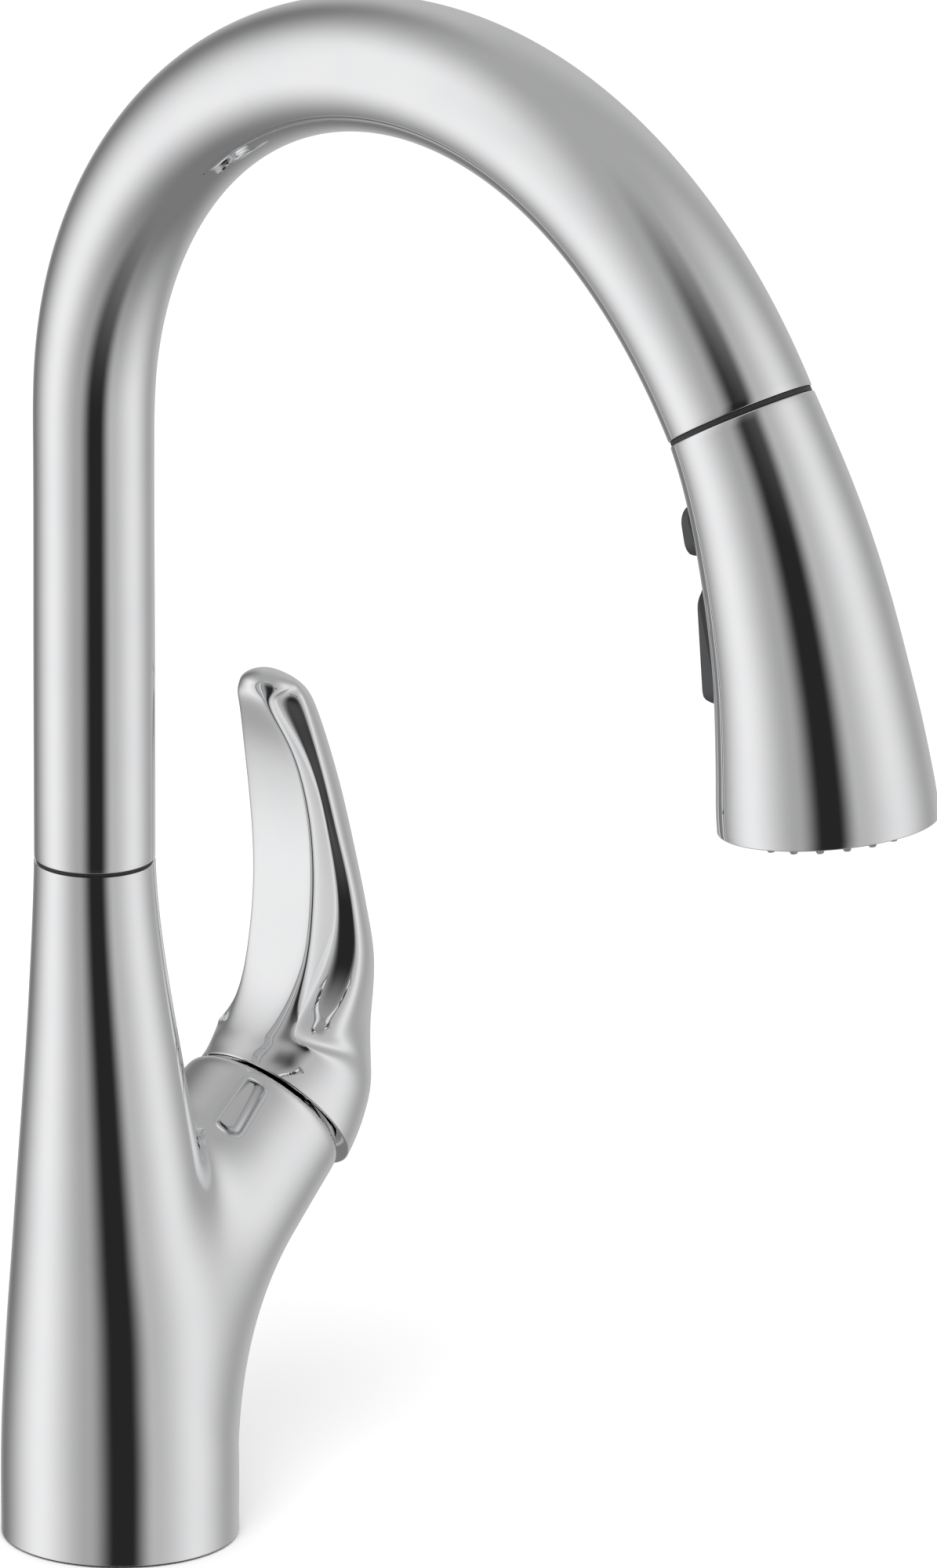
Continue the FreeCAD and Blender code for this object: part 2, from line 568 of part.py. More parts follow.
def make_buttons():
    plungers = {"spray": ("diverter_spool", 2.6, -20.0), "pause": ("pause_plunger", 1.9, -15.5)}
    for name, (along, width, height, corner, upper, lower, chamfer) in BUTTONS.items():
        frame = button_frame(along)
        bezel = rounded_block(width + 2.8, height + 2.8, corner + 1.4, -6, 0.2).cut(
            rounded_block(width + 0.6, height + 0.6, corner + 0.3, -7, 1))
        save(name + "_bezel", placed(bezel, frame))
        save(name + "_button", placed(button_cap(width, height, corner, upper, lower, chamfer),
                                      frame))
        plunger, plunger_r, depth = plungers[name]
        save(plunger, rod(plunger_r, depth, -5, frame=frame))
        save(name + "_spring", placed(coil_spring(plunger_r + 1.0, 0.4, 4, -13.5, -5.5), frame))


def make_nozzle_end():
    frame = RIM_FRAME
    save("spray_face", turned([(9.6, -9), (22.5, -9), (25.0, -1.6), (24.4, -0.8), (9.6, -0.8)],
                              frame).cut(Part.makeCompound(
        [placed(Part.makeCylinder(1.15, 12, V(r * math.cos(a), r * math.sin(a), -10)), frame)
         for r, a in nozzle_places()])))
    nozzles = []
    for r, a in nozzle_places():
        base = V(r * math.cos(a), r * math.sin(a), -8)
        nozzles.append(placed(Part.makeCylinder(1.1, 7.2, base).fuse(
            Part.makeCone(1.1, 0.8, 1.7, base + V(0, 0, 7.2))), frame))
    save("spray_nozzles", *nozzles)
    save("aerator_body", ring(7.6, 9.5, -14, -0.6, frame))
    grid = ring(0, 7.5, -6, -4.4, frame)
    holes = [placed(Part.makeCylinder(0.6, 4, V(2.0 * i, 2.0 * j, -7)), frame)
             for i in range(-3, 4) for j in range(-3, 4) if math.hypot(i, j) < 3.2]
    save("aerator_screen", cut(grid, *holes))


def nozzle_places():
    places = []
    for radius, count in ((13.0, 12), (17.0, 16), (21.0, 20)):
        places += [(radius, 2 * math.pi * k / count) for k in range(count)]
    return places


def make_hose_end():
    """Swivel fitting between the hose and the spray head."""
    end_s = HOSE_END_S - SPOUT_LEN
    fitting = turned([(2.6, end_s + 1.2), (7.4, end_s + 1.2), (7.4, 3.0), (6.0, 3.0), (6.0, 7.0),
                      (8.84, 7.0), (8.84, 16.0), (2.6, 16.0)], DOCK_FRAME)
    groove = ring(7.2, 9.5, 11.2, 13.2, DOCK_FRAME)
    save("hose_fitting", fitting.cut(groove))
    save("fitting_o_ring", o_ring(8.0, 0.8, 12.2, DOCK_FRAME))


# ---- below the deck -----------------------------------------------------------------------
def make_mounting():
    save("mounting_shank", ring(SHANK_BORE_R, SHANK_R, SHANK_END, 14))
    save("mounting_washer", ring(SHANK_R + 0.4, 27, -DECK - 2.5, -DECK))
    nut = Part.makeCylinder(24, 9, V(0, 0, -DECK - 11.6))
    wings = [Part.makeBox(60, 9, 9, V(-30, -4.5, -DECK - 11.6)),
             Part.makeBox(9, 60, 9, V(-4.5, -30, -DECK - 11.6))]
    for wing in wings:
        nut = nut.fuse(wing)
    save("mounting_nut", nut.cut(ring(0, SHANK_R + 0.05, -DECK - 20, 0)))
    places = {"hot_inlet_tube": (6.6, 5.2, 4.76, 1.0), "cold_inlet_tube": (6.6, -5.2, 4.76, 1.0),
              "outlet_tube": (-1.5, 9.7, 3.2, 0.8)}
    for name, (x, y, radius, wall) in places.items():
        tube = Part.makeCylinder(radius, 40 - TUBE_END, V(x, y, TUBE_END))
        save(name, tube.cut(Part.makeCylinder(radius - wall, 42 - TUBE_END, V(x, y, TUBE_END - 1))))
    plate = ring(0, SHANK_BORE_R - 0.1, 8, 12)
    holes = [Part.makeCylinder(r + 0.1, 6, V(x, y, 7)) for x, y, r, _ in places.values()]
    save("hose_guide", cut(plate, Part.makeCylinder(HOSE_R + 0.4, 6, V(SPOUT_X, 0, 7)), *holes))


os.makedirs("parts", exist_ok=True)
make_valve_body()
make_body_fittings()
make_cartridge()
make_lever()
make_spout()
make_head()
make_buttons()
make_nozzle_end()
make_hose_end()
make_mounting()
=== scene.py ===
"""Polished single-handle pull down kitchen faucet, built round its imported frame.

Everything is in metres in the frame's own axes: +Z up, spout towards -Y, handle towards +X.
Shape laws are written in millimetres, as in the design, and scaled by MM.
"""
import bmesh
import bpy
import json
import math
import numpy as np
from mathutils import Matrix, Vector


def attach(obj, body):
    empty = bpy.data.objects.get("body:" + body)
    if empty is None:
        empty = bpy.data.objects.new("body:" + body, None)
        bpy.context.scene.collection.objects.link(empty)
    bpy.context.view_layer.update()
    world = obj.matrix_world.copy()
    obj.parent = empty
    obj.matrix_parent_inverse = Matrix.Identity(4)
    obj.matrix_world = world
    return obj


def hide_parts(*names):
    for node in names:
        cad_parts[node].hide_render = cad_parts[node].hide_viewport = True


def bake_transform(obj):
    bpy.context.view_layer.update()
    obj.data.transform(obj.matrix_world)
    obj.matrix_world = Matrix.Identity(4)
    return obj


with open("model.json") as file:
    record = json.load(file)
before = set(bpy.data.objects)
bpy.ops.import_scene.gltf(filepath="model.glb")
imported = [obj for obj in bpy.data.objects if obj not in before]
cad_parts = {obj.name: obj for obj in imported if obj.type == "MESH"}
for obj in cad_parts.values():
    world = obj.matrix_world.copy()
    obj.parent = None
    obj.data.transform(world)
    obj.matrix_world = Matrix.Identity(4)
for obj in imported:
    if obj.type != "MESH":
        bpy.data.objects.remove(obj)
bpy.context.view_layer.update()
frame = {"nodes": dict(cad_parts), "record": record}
MM = 0.001

# ---- sizes of the design, in millimetres --------------------------------------------------
FOOT_Z = 0.5
SEAM_Z = 176.7
SWIVEL_GAP = 0.9
SPOUT_X = -8.62
TUBE_WALL = 1.5
SPOUT_LEN = 413.9
RING_LEN = 1.3
HEAD_END = 516.8
HEAD_WALL = 1.7
STRAIGHT_LEN = 105.7
ARCH_EASE = 20.0
ARCH_CURVE = 0.00925
ARCH_HOLD = 324.9
END_CURVE = 0.0022
BRANCH_TILT = math.radians(39.0)
BRANCH_RIM = np.array([53.7, 0.0, 97.2])
BRANCH_START = 10.0
PIVOT_Q = -20.0
CAVITY_R = 28.8
SEAT_R = 18.9
SKIRT_GAP_TOP = 0.6
SKIRT_GAP_LOW = 1.5
RIM_R = 20.1

COLUMN = np.array([(-12, 0, 29.4), (5, 0, 29.4), (22, 0, 29.38), (40, -0.35, 28.5),
                   (63.4, -1.4, 26.35), (96.2, -3.6, 22.7), (129.4, -5.96, 18.85),
                   (154, -7.75, 16.35), (SEAM_Z, SPOUT_X, 15.0), (190, SPOUT_X, 14.95)])
BRANCH = np.array([(-0.1, 29.4), (0, 29.4), (0.25, 28.4), (0.5, 25.85), (0.75, 23.5),
                   (1, 21.85), (1.1, 21.3)])
SPOUT_R = np.array([(0, 14.95), (60, 14.95), (120, 15.0), (150, 15.42), (190, 15.85), (230, 16.3),
                    (270, 16.8), (310, 17.45), (350, 18.05), (385, 18.5), (SPOUT_LEN, 18.7)]) - (0, 0.01)
HEAD_R = np.array([(0, 18.65), (10, 19.2), (20, 20.0), (30, 20.9), (43, 22.0), (54, 22.9),
                   (65, 23.8), (78, 25.1), (90, 26.25), (98, 26.9), (103, 27.05)])
# Handle stations from skirt to tip: inner face X, Z; outer face X, Z; half widths at the inner
# lip and at the flared rim; depths of the crease and of the rim as shares; roundness of the
# inner and outer faces, and of the recessed flank.
HANDLE = np.array([
    (38.0, 110.0, 66.5, 74.5, 21.5, 21.5, 0.10, 0.40, 1.0, 1.0),
    (40.6, 112.3, 71.0, 79.0, 21.2, 21.6, 0.10, 0.40, 1.0, 1.0),
    (42.0, 113.6, 75.4, 84.2, 20.0, 21.4, 0.10, 0.40, 1.0, 1.0),
    (43.0, 114.6, 79.8, 91.0, 19.4, 20.8, 0.10, 0.40, 1.0, 1.0),
    (44.0, 115.6, 83.2, 99.0, 18.6, 20.2, 0.10, 0.40, 0.95, 1.0),
    (45.0, 116.6, 85.0, 107.0, 16.8, 19.5, 0.08, 0.32, 0.9, 0.75),
    (46.2, 117.8, 85.8, 113.2, 12.6, 18.6, 0.06, 0.32, 0.8, 0.2),
    (48.0, 119.6, 86.0, 117.6, 10.9, 18.2, 0.07, 0.32, 0.6, 0.0),
    (51.0, 123.2, 86.0, 121.8, 10.1, 17.4, 0.12, 0.36, 0.4, 0.0),
    (54.9, 129.2, 85.8, 127.4, 10.0, 16.3, 0.20, 0.43, 0.2, 0.0),
    (58.0, 137.2, 85.2, 133.8, 10.2, 14.9, 0.29, 0.48, 0.0, 0.0),
    (59.5, 146.8, 84.0, 141.4, 10.2, 13.4, 0.37, 0.50, 0.0, 0.0),
    (60.1, 158.0, 82.0, 150.8, 10.2, 12.6, 0.35, 0.47, 0.0, 0.0),
    (59.2, 170.0, 79.4, 162.0, 10.2, 12.0, 0.29, 0.38, 0.0, 0.0),
    (57.1, 181.5, 76.3, 174.4, 9.6, 11.2, 0.28, 0.37, 0.0, 0.0),
    (54.4, 191.3, 72.4, 186.2, 8.4, 10.6, 0.24, 0.37, 0.0, 0.0),
    (50.9, 198.8, 68.9, 196.0, 6.2, 10.0, 0.20, 0.44, 0.1, 0.0),
    (48.7, 203.4, 66.2, 202.2, 5.1, 9.7, 0.19, 0.48, 0.2, 0.0),
    (48.0, 205.6, 64.2, 205.2, 5.3, 9.2, 0.20, 0.52, 0.4, 0.0),
    (47.9, 207.2, 62.4, 207.2, 7.2, 7.8, 0.30, 0.60, 1.0, 1.0),
    (48.2, 209.6, 58.6, 209.6, 5.6, 5.6, 0.30, 0.60, 1.0, 1.0),
    (52.9, 211.7, 53.9, 211.7, 0.5, 0.5, 0.30, 0.60, 1.0, 1.0),
    (58.6, 209.6, 48.2, 209.6, -5.6, -5.6, 0.30, 0.60, 1.0, 1.0),
])
BUTTONS = {
    # along the head, width, height, corner, upper and lower ends proud of the shell, chamfer
    "spray": (56.5, 17.0, 30.0, 5.0, 1.8, 6.4, 2.6),
    "pause": (24.5, 14.6, 13.0, 4.5, 3.6, 5.6, 1.2),
}
CAP_DEPTH = 3.2          # underside of a button's cap, below the shell's surface
BEZEL_DEPTH = 6.0
HOSE_R = 6.4
HOSE_WALL = 2.2
HOSE_LOW = -66.0
HOSE_END = 404.0
HOSE_STRETCH = 50.0      # length at the hose's end that is built as a separate, unattached piece
CAMERA_AZ = -48.0
CAMERA_EL = 18.0


# ---- smooth laws --------------------------------------------------------------------------
def smooth_law(points):
    """Curvature-continuous cubic through (x, value) points, as a function of arrays."""
    x = points[:, 0]
    y = points[:, 1]
    n = len(x)
    h = np.diff(x)
    lhs = np.eye(n)
    rhs = np.zeros(n)
    for i in range(1, n - 1):
        lhs[i, i - 1:i + 2] = (h[i - 1], 2 * (h[i - 1] + h[i]), h[i])
        rhs[i] = 6 * ((y[i + 1] - y[i]) / h[i] - (y[i] - y[i - 1]) / h[i - 1])
    bend = np.linalg.solve(lhs, rhs)

    def law(at):
        at = np.asarray(at, float)
        i = np.clip(np.searchsorted(x, at) - 1, 0, n - 2)
        right = at - x[i]
        left = x[i + 1] - at
        return ((bend[i] * left**3 + bend[i + 1] * right**3) / (6 * h[i])
                + (y[i] / h[i] - bend[i] * h[i] / 6) * left
                + (y[i + 1] / h[i] - bend[i + 1] * h[i] / 6) * right)
    return law


column_x = smooth_law(COLUMN[:, [0, 1]])
column_r = smooth_law(COLUMN[:, [0, 2]])
branch_r = smooth_law(BRANCH)
spout_r = smooth_law(SPOUT_R)
head_r = smooth_law(HEAD_R)


def spout_line(step=0.25):
    """Length, reach, height and heading along the spout's centre line."""
    s = np.arange(0, HEAD_END + 8, step)
    rising = ARCH_CURVE * np.clip((s - STRAIGHT_LEN) / ARCH_EASE, 0, 1)
    easing = (END_CURVE - ARCH_CURVE) * np.clip((s - ARCH_HOLD) / (HEAD_END - ARCH_HOLD), 0, 1.1)
    curve = rising + easing
    turn = np.concatenate([[0], np.cumsum((curve[1:] + curve[:-1]) / 2 * step)])
    heading = math.pi / 2 - turn
    middle = (heading[1:] + heading[:-1]) / 2
    reach = np.concatenate([[0], np.cumsum(np.cos(middle) * step)])
    height = SEAM_Z + SWIVEL_GAP + np.concatenate([[0], np.cumsum(np.sin(middle) * step)])
    return s, reach, height, heading


LINE = spout_line()


def station(s):
    """Centre and direction of the spout at length s, in millimetres."""
    reach, height, heading = (np.interp(s, LINE[0], v) for v in LINE[1:])
    return (np.array([SPOUT_X, -reach, height]),
            np.array([0.0, -math.cos(heading), math.sin(heading)]))


# ---- mesh helpers -------------------------------------------------------------------------
def new_object(name, verts, faces):
    mesh = bpy.data.meshes.new(name)
    mesh.from_pydata([tuple(v) for v in verts], [], faces)
    mesh.validate()
    mesh.polygons.foreach_set("use_smooth", [True] * len(mesh.polygons))
    made = bpy.data.objects.new(name, mesh)
    bpy.context.scene.collection.objects.link(made)
    return made


def grid_object(name, rows, close_rows=False):
    """Quads over rows of points (mm); every row is a closed loop, and the rows may close too."""
    rows = np.asarray(rows)
    count, around, _ = rows.shape
    verts = (rows.reshape(-1, 3) * MM).tolist()
    faces = []
    for i in range(count if close_rows else count - 1):
        j = (i + 1) % count
        for k in range(around):
            m = (k + 1) % around
            faces.append((i * around + k, i * around + m, j * around + m, j * around + k))
    return new_object(name, verts, faces)


def face_outwards(obj):
    bm = bmesh.new()
    bm.from_mesh(obj.data)
    bmesh.ops.recalc_face_normals(bm, faces=bm.faces)
    bm.to_mesh(obj.data)
    bm.free()
    return obj


def sharp_where(obj, degrees):
    """Marks edges sharper than an angle, so that smooth shading stops there."""
    bm = bmesh.new()
    bm.from_mesh(obj.data)
    limit = math.radians(degrees)
    for edge in bm.edges:
        edge.smooth = not (edge.is_manifold and edge.calc_face_angle(0) > limit)
    bm.to_mesh(obj.data)
    bm.free()
    return obj


def frame_axes(direction, side=(1.0, 0.0, 0.0)):
    """Two unit vectors across a direction: the side vector made square to it, and the third."""
    across = np.array(side) - np.dot(side, direction) * direction
    across = across / np.linalg.norm(across)
    return across, np.cross(direction, across)


def circle_rows(centres, directions, radii, around):
    turns = np.linspace(0, 2 * math.pi, around, endpoint=False)
    rows = []
    for centre, direction, radius in zip(centres, directions, radii):
        across, third = frame_axes(direction)
        rows.append(centre + radius * (np.outer(np.cos(turns), across)
                                       + np.outer(np.sin(turns), third)))
    return np.array(rows)


def lathe(name, outline, origin, direction, around=128, closed=True):
    """Turned piece from (radius, height) points in millimetres about a local axis."""
    centres = [origin + h * direction for _, h in outline]
    rows = circle_rows(centres, [direction] * len(outline), [r for r, _ in outline], around)
    return face_outwards(grid_object(name, rows, close_rows=closed))


def round_corner(a, b, c, radius, steps=5):
    """Points of an arc that rounds the corner b of the outline a-b-c."""
    a, b, c = (np.array(p, float) for p in (a, b, c))
    to_a = (a - b) / np.linalg.norm(a - b)
    to_c = (c - b) / np.linalg.norm(c - b)
    half = math.acos(np.clip(np.dot(to_a, to_c), -1, 1)) / 2
    reach = radius / math.tan(half)
    centre = b + (to_a + to_c) / np.linalg.norm(to_a + to_c) * radius / math.sin(half)
    start = b + to_a * reach - centre
    end = b + to_c * reach - centre
    points = []
    for i in range(steps + 1):
        t = i / steps
        mixed = start * (1 - t) + end * t
        points.append(tuple(centre + mixed / np.linalg.norm(mixed) * radius))
    return points


def rounded_outline(corners):
    """Closed outline from (radius, height, rounding) corners."""
    points = []
    count = len(corners)
    for i, (r, h, rounding) in enumerate(corners):
        before = corners[i - 1][:2]
        after = corners[(i + 1) % count][:2]
        if rounding:
            points += round_corner(before, (r, h), after, rounding)
        else:
            points.append((r, h))
    return points


# ---- materials ----------------------------------------------------------------------------
def new_material(name):
    mat = bpy.data.materials.new(name)
    mat.use_nodes = True
    nodes = mat.node_tree.nodes
    return mat, nodes, mat.node_tree.links, nodes["Principled BSDF"]


def noise_bump(mat, shader, scale, strength, distance, detail=6.0, stretch=(1, 1, 1)):
    nodes = mat.node_tree.nodes
    links = mat.node_tree.links
    coord = nodes.new("ShaderNodeTexCoord")
    mapping = nodes.new("ShaderNodeMapping")
    mapping.inputs["Scale"].default_value = stretch
    noise = nodes.new("ShaderNodeTexNoise")
    noise.inputs["Scale"].default_value = scale
    noise.inputs["Detail"].default_value = detail
    bump = nodes.new("ShaderNodeBump")
    bump.inputs["Strength"].default_value = strength
    bump.inputs["Distance"].default_value = distance
    links.new(coord.outputs["Object"], mapping.inputs["Vector"])
    links.new(mapping.outputs["Vector"], noise.inputs["Vector"])
    links.new(noise.outputs["Fac"], bump.inputs["Height"])
    links.new(bump.outputs["Normal"], shader.inputs["Normal"])
    return noise


def varied(mat, shader, noise, socket, low, high):
    """Drives a socket from a noise between two values."""
    span = mat.node_tree.nodes.new("ShaderNodeMapRange")
    span.inputs["From Min"].default_value = 0.3
    span.inputs["From Max"].default_value = 0.7
    span.inputs["To Min"].default_value = low
    span.inputs["To Max"].default_value = high
    mat.node_tree.links.new(noise.outputs["Fac"], span.inputs["Value"])
    mat.node_tree.links.new(span.outputs["Result"], shader.inputs[socket])


def tinted(mat, shader, noise, dark, light):
    ramp = mat.node_tree.nodes.new("ShaderNodeValToRGB")
    ramp.color_ramp.elements[0].position = 0.3
    ramp.color_ramp.elements[0].color = (*dark, 1)
    ramp.color_ramp.elements[1].position = 0.7
    ramp.color_ramp.elements[1].color = (*light, 1)
    mat.node_tree.links.new(noise.outputs["Fac"], ramp.inputs["Fac"])
    mat.node_tree.links.new(ramp.outputs["Color"], shader.inputs["Base Color"])


def chrome_material():
    """Bright nickel-chrome plate: a mirror with the faintest unevenness in its polish."""
    mat, nodes, links, shader = new_material("polished_chrome")
    shader.inputs["Metallic"].default_value = 1.0
    coord = nodes.new("ShaderNodeTexCoord")
    haze = nodes.new("ShaderNodeTexNoise")
    haze.inputs["Scale"].default_value = 60.0
    haze.inputs["Detail"].default_value = 4.0
    links.new(coord.outputs["Object"], haze.inputs["Vector"])
    varied(mat, shader, haze, "Roughness", 0.018, 0.035)
    tinted(mat, shader, haze, (0.905, 0.908, 0.92), (0.93, 0.932, 0.94))
    return mat


def plain_material(name, dark, light, rough, metallic=0.0, scale=900.0, depth=0.00005, coat=0.0,
                   strength=0.25, stretch=(1, 1, 1)):
    mat, _, _, shader = new_material(name)
    shader.inputs["Metallic"].default_value = metallic
    shader.inputs["Coat Weight"].default_value = coat
    noise = noise_bump(mat, shader, scale, strength, depth, stretch=stretch)
    varied(mat, shader, noise, "Roughness", rough * 0.85, min(rough * 1.15, 1))
    tinted(mat, shader, noise, dark, light)
    return mat


def make_materials():
    return {
        "polished_chrome": chrome_material(),
        "machined_brass": plain_material("machined_brass", (0.62, 0.44, 0.17), (0.74, 0.56, 0.27),
                                         0.28, 1.0, 700, 0.00003, stretch=(1, 1, 9)),
        "steel": plain_material("steel", (0.50, 0.50, 0.49), (0.66, 0.66, 0.65), 0.3, 1.0, 800,
                                0.00003, stretch=(1, 1, 7)),
        "copper": plain_material("copper", (0.70, 0.34, 0.20), (0.83, 0.47, 0.31), 0.3, 1.0, 300,
                                 0.00004, stretch=(1, 1, 0.1)),
        "ceramic": plain_material("ceramic", (0.86, 0.84, 0.80), (0.93, 0.92, 0.89), 0.22, 0.0,
                                  1500, 0.00001, 0.4),
        "black_rubber": plain_material("black_rubber", (0.012, 0.012, 0.012), (0.03, 0.03, 0.03),
                                       0.6, 0.0, 1800, 0.00006),
        "grey_rubber": plain_material("grey_rubber", (0.16, 0.165, 0.175), (0.25, 0.255, 0.265),
                                      0.5, 0.0, 1600, 0.00004),
        "black_plastic": plain_material("black_plastic", (0.010, 0.010, 0.011),
                                        (0.018, 0.018, 0.02), 0.42, 0.0, 2200, 0.00004),
        "button_grey": plain_material("button_grey", (0.030, 0.031, 0.034), (0.045, 0.046, 0.05),
                                      0.45, 0.0, 2600, 0.00005, 0.1),
        "white_plastic": plain_material("white_plastic", (0.72, 0.72, 0.69), (0.82, 0.82, 0.79),
                                        0.4, 0.0, 1200, 0.00003),
        "grey_plastic": plain_material("grey_plastic", (0.30, 0.305, 0.32), (0.37, 0.375, 0.39),
                                       0.35, 0.0, 2000, 0.00003, 0.15),
        "magnet": plain_material("magnet", (0.42, 0.42, 0.44), (0.55, 0.55, 0.57), 0.3, 1.0, 900,
                                 0.00002),
        "cartridge_metal": plain_material("cartridge_metal", (0.38, 0.38, 0.38),
                                          (0.50, 0.50, 0.50), 0.35, 1.0, 1500, 0.00004),
        "hose_braid": plain_material("hose_braid", (0.22, 0.225, 0.235), (0.42, 0.43, 0.44), 0.6,
                                     0.0, 700, 0.0002),
    }


MATERIALS = make_materials()


def paint_frame():
    """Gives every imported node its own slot's material."""
    for part in frame["record"]["subparts"]:
        node = frame["nodes"][part["node"]]
        node.data.materials.clear()
        node.data.materials.append(MATERIALS[part["material_slot"]])


def finish_piece(obj, body, slot, *nodes):
    obj.data.materials.clear()
    obj.data.materials.append(MATERIALS[slot])
    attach(obj, body)
    if nodes:
        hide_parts(*nodes)
    return obj


# ---- valve body ---------------------------------------------------------------------------
BRANCH_DIR = np.array([math.cos(BRANCH_TILT), 0.0, math.sin(BRANCH_TILT)])
BRANCH_OUT = np.array([math.sin(BRANCH_TILT), 0.0, -math.cos(BRANCH_TILT)])
ARC_TURN = math.pi / 2 - BRANCH_TILT


def branch_sizes():
    """Arc radius and straight length that join the foot's vertical to the branch axis."""
    rise = BRANCH_RIM[2] - BRANCH_START
    cos = math.cos(BRANCH_TILT)
    sin = math.sin(BRANCH_TILT)
    straight = (BRANCH_RIM[0] * cos - rise * (1 - sin)) / (cos**2 - sin * (1 - sin))
    return (rise - straight * sin) / cos, straight


BRANCH_ARC, BRANCH_STRAIGHT = branch_sizes()
BRANCH_LEN = BRANCH_START + BRANCH_ARC * ARC_TURN + BRANCH_STRAIGHT


def soft_min(a, b, width):
    """Smooth union of two distances that blends over a width."""
    width = np.maximum(width, 1e-6)
    near = np.maximum(width - np.abs(a - b), 0) / width
    return np.minimum(a, b) - near**3 * width / 6


def soft_max(a, b, width):
    return -soft_min(-a, -b, width)


def ease(x, low, high):
    t = np.clip((x - low) / (high - low), 0, 1)
    return t * t * t * (t * (6 * t - 15) + 10)


def column_distance(p):
    return np.hypot(p[:, 0] - column_x(p[:, 2]), p[:, 1]) - column_r(p[:, 2])


def branch_distance(p):
    x = p[:, 0]
    z = p[:, 2]
    angle = np.arctan2(z - BRANCH_START, BRANCH_ARC - x)
    along_arc = BRANCH_START + BRANCH_ARC * angle
    off_arc = BRANCH_ARC - np.hypot(BRANCH_ARC - x, z - BRANCH_START)
    q = (x - BRANCH_RIM[0]) * BRANCH_DIR[0] + (z - BRANCH_RIM[2]) * BRANCH_DIR[2]
    off_line = (x - BRANCH_RIM[0]) * BRANCH_OUT[0] + (z - BRANCH_RIM[2]) * BRANCH_OUT[2]
    on_line = (angle > ARC_TURN) | (angle < -1)
    low = (z < BRANCH_START) & ~((angle > ARC_TURN) & (x > BRANCH_ARC))
    along = np.where(on_line, BRANCH_LEN + q, along_arc)
    off = np.where(on_line, off_line, off_arc)
    along = np.where(low, z, along)
    off = np.where(low, x, off)
    return np.hypot(off, p[:, 1]) - branch_r(along / BRANCH_LEN)


def branch_q(p):
    """Distance beyond the branch's rim plane."""
    return (p[:, 0] - BRANCH_RIM[0]) * BRANCH_DIR[0] + (p[:, 2] - BRANCH_RIM[2]) * BRANCH_DIR[2]


CROTCH_BLEND = 17.0                  # softness of the join between column and branch
CROTCH_LEVELS = (20.0, 80.0)         # heights between which it builds up
CROTCH_TIGHTER = 9.5                 # how much of it is lost again at the crotch
CROTCH_TOP_LEVELS = (88.0, 116.0)    # heights between which that happens
LIP_BLEND = 5.0                      # softness of the branch's rim
SEAT_DEPTH = 2.8                     # floor of the bonnet dome's seat, below the rim
BORE_R = 17.2                        # cartridge bore
BORE_DEPTH = 42.0
RECESS_R = 28.4                      # hollow in the foot's underside
RECESS_TOP = 2.6
SHANK_HOLE_R = 17.0
SHANK_HOLE_TOP = 40.0


def body_distance(p):
    blend = (CROTCH_BLEND * ease(p[:, 2], *CROTCH_LEVELS)
             - CROTCH_TIGHTER * ease(p[:, 2], *CROTCH_TOP_LEVELS))
    lipped = soft_max(branch_distance(p), branch_q(p), LIP_BLEND)
    return soft_min(column_distance(p), lipped, blend)


def gradient(field, p, h=0.02):
    parts = []
    for axis in range(3):
        step = np.zeros(3)
        step[axis] = h
        parts.append((field(p + step) - field(p - step)) / (2 * h))
    return np.stack(parts, 1)


def settle(field, p, rounds=5):
    """Moves points onto the surface where the field is zero."""
    for _ in range(rounds):
        slope = gradient(field, p)
        p = p - slope * (field(p) / np.maximum((slope**2).sum(1), 0.05))[:, None]
    return p


def remeshed(obj, voxel):
    remesh = obj.modifiers.new("remesh", "REMESH")
    remesh.mode = "VOXEL"
    remesh.voxel_size = voxel * MM
    depsgraph = bpy.context.evaluated_depsgraph_get()
    mesh = bpy.data.meshes.new_from_object(obj.evaluated_get(depsgraph))
    obj.modifiers.clear()
    obj.data = mesh
    return obj


def neighbour_average(mesh, p):
    edges = np.empty(len(mesh.edges) * 2, int)
    mesh.edges.foreach_get("vertices", edges)
    edges = edges.reshape(-1, 2)
    total = np.zeros_like(p)
    count = np.zeros(len(p))
    for a, b in ((0, 1), (1, 0)):
        np.add.at(total, edges[:, a], p[edges[:, b]])
        np.add.at(count, edges[:, a], 1)
    return total / np.maximum(count, 1)[:, None]


def relax_onto(obj, field, rounds=6):
    """Evens out the mesh along the surface of a field, and puts every vertex on it."""
    mesh = obj.data
    p = np.empty(len(mesh.vertices) * 3)
    mesh.vertices.foreach_get("co", p)
    p = settle(field, p.reshape(-1, 3) / MM, 8)
    for _ in range(rounds):
        p = settle(field, p + 0.6 * (neighbour_average(mesh, p) - p), 2)
    p = settle(field, p, 4)
    mesh.vertices.foreach_set("co", (p * MM).ravel())
    mesh.update()
    return obj


def extend_loop(bm, edges, move):
    """Extrudes a boundary loop and moves the new vertices; returns the new boundary edges."""
    made = bmesh.ops.extrude_edge_only(bm, edges=edges)["geom"]
    for vert in (g for g in made if isinstance(g, bmesh.types.BMVert)):
        vert.co = Vector(move(np.array(vert.co) / MM)) * MM
    return [g for g in made if isinstance(g, bmesh.types.BMEdge) and g.is_boundary]


def slice_off(bm, point, normal):
    """Removes what lies beyond a plane; returns the new boundary edges."""
    geometry = bm.verts[:] + bm.edges[:] + bm.faces[:]
    cut = bmesh.ops.bisect_plane(bm, geom=geometry, plane_co=Vector(point) * MM,
                                 plane_no=Vector(normal), clear_outer=True, dist=1e-7)
    return [g for g in cut["geom_cut"] if isinstance(g, bmesh.types.BMEdge)]


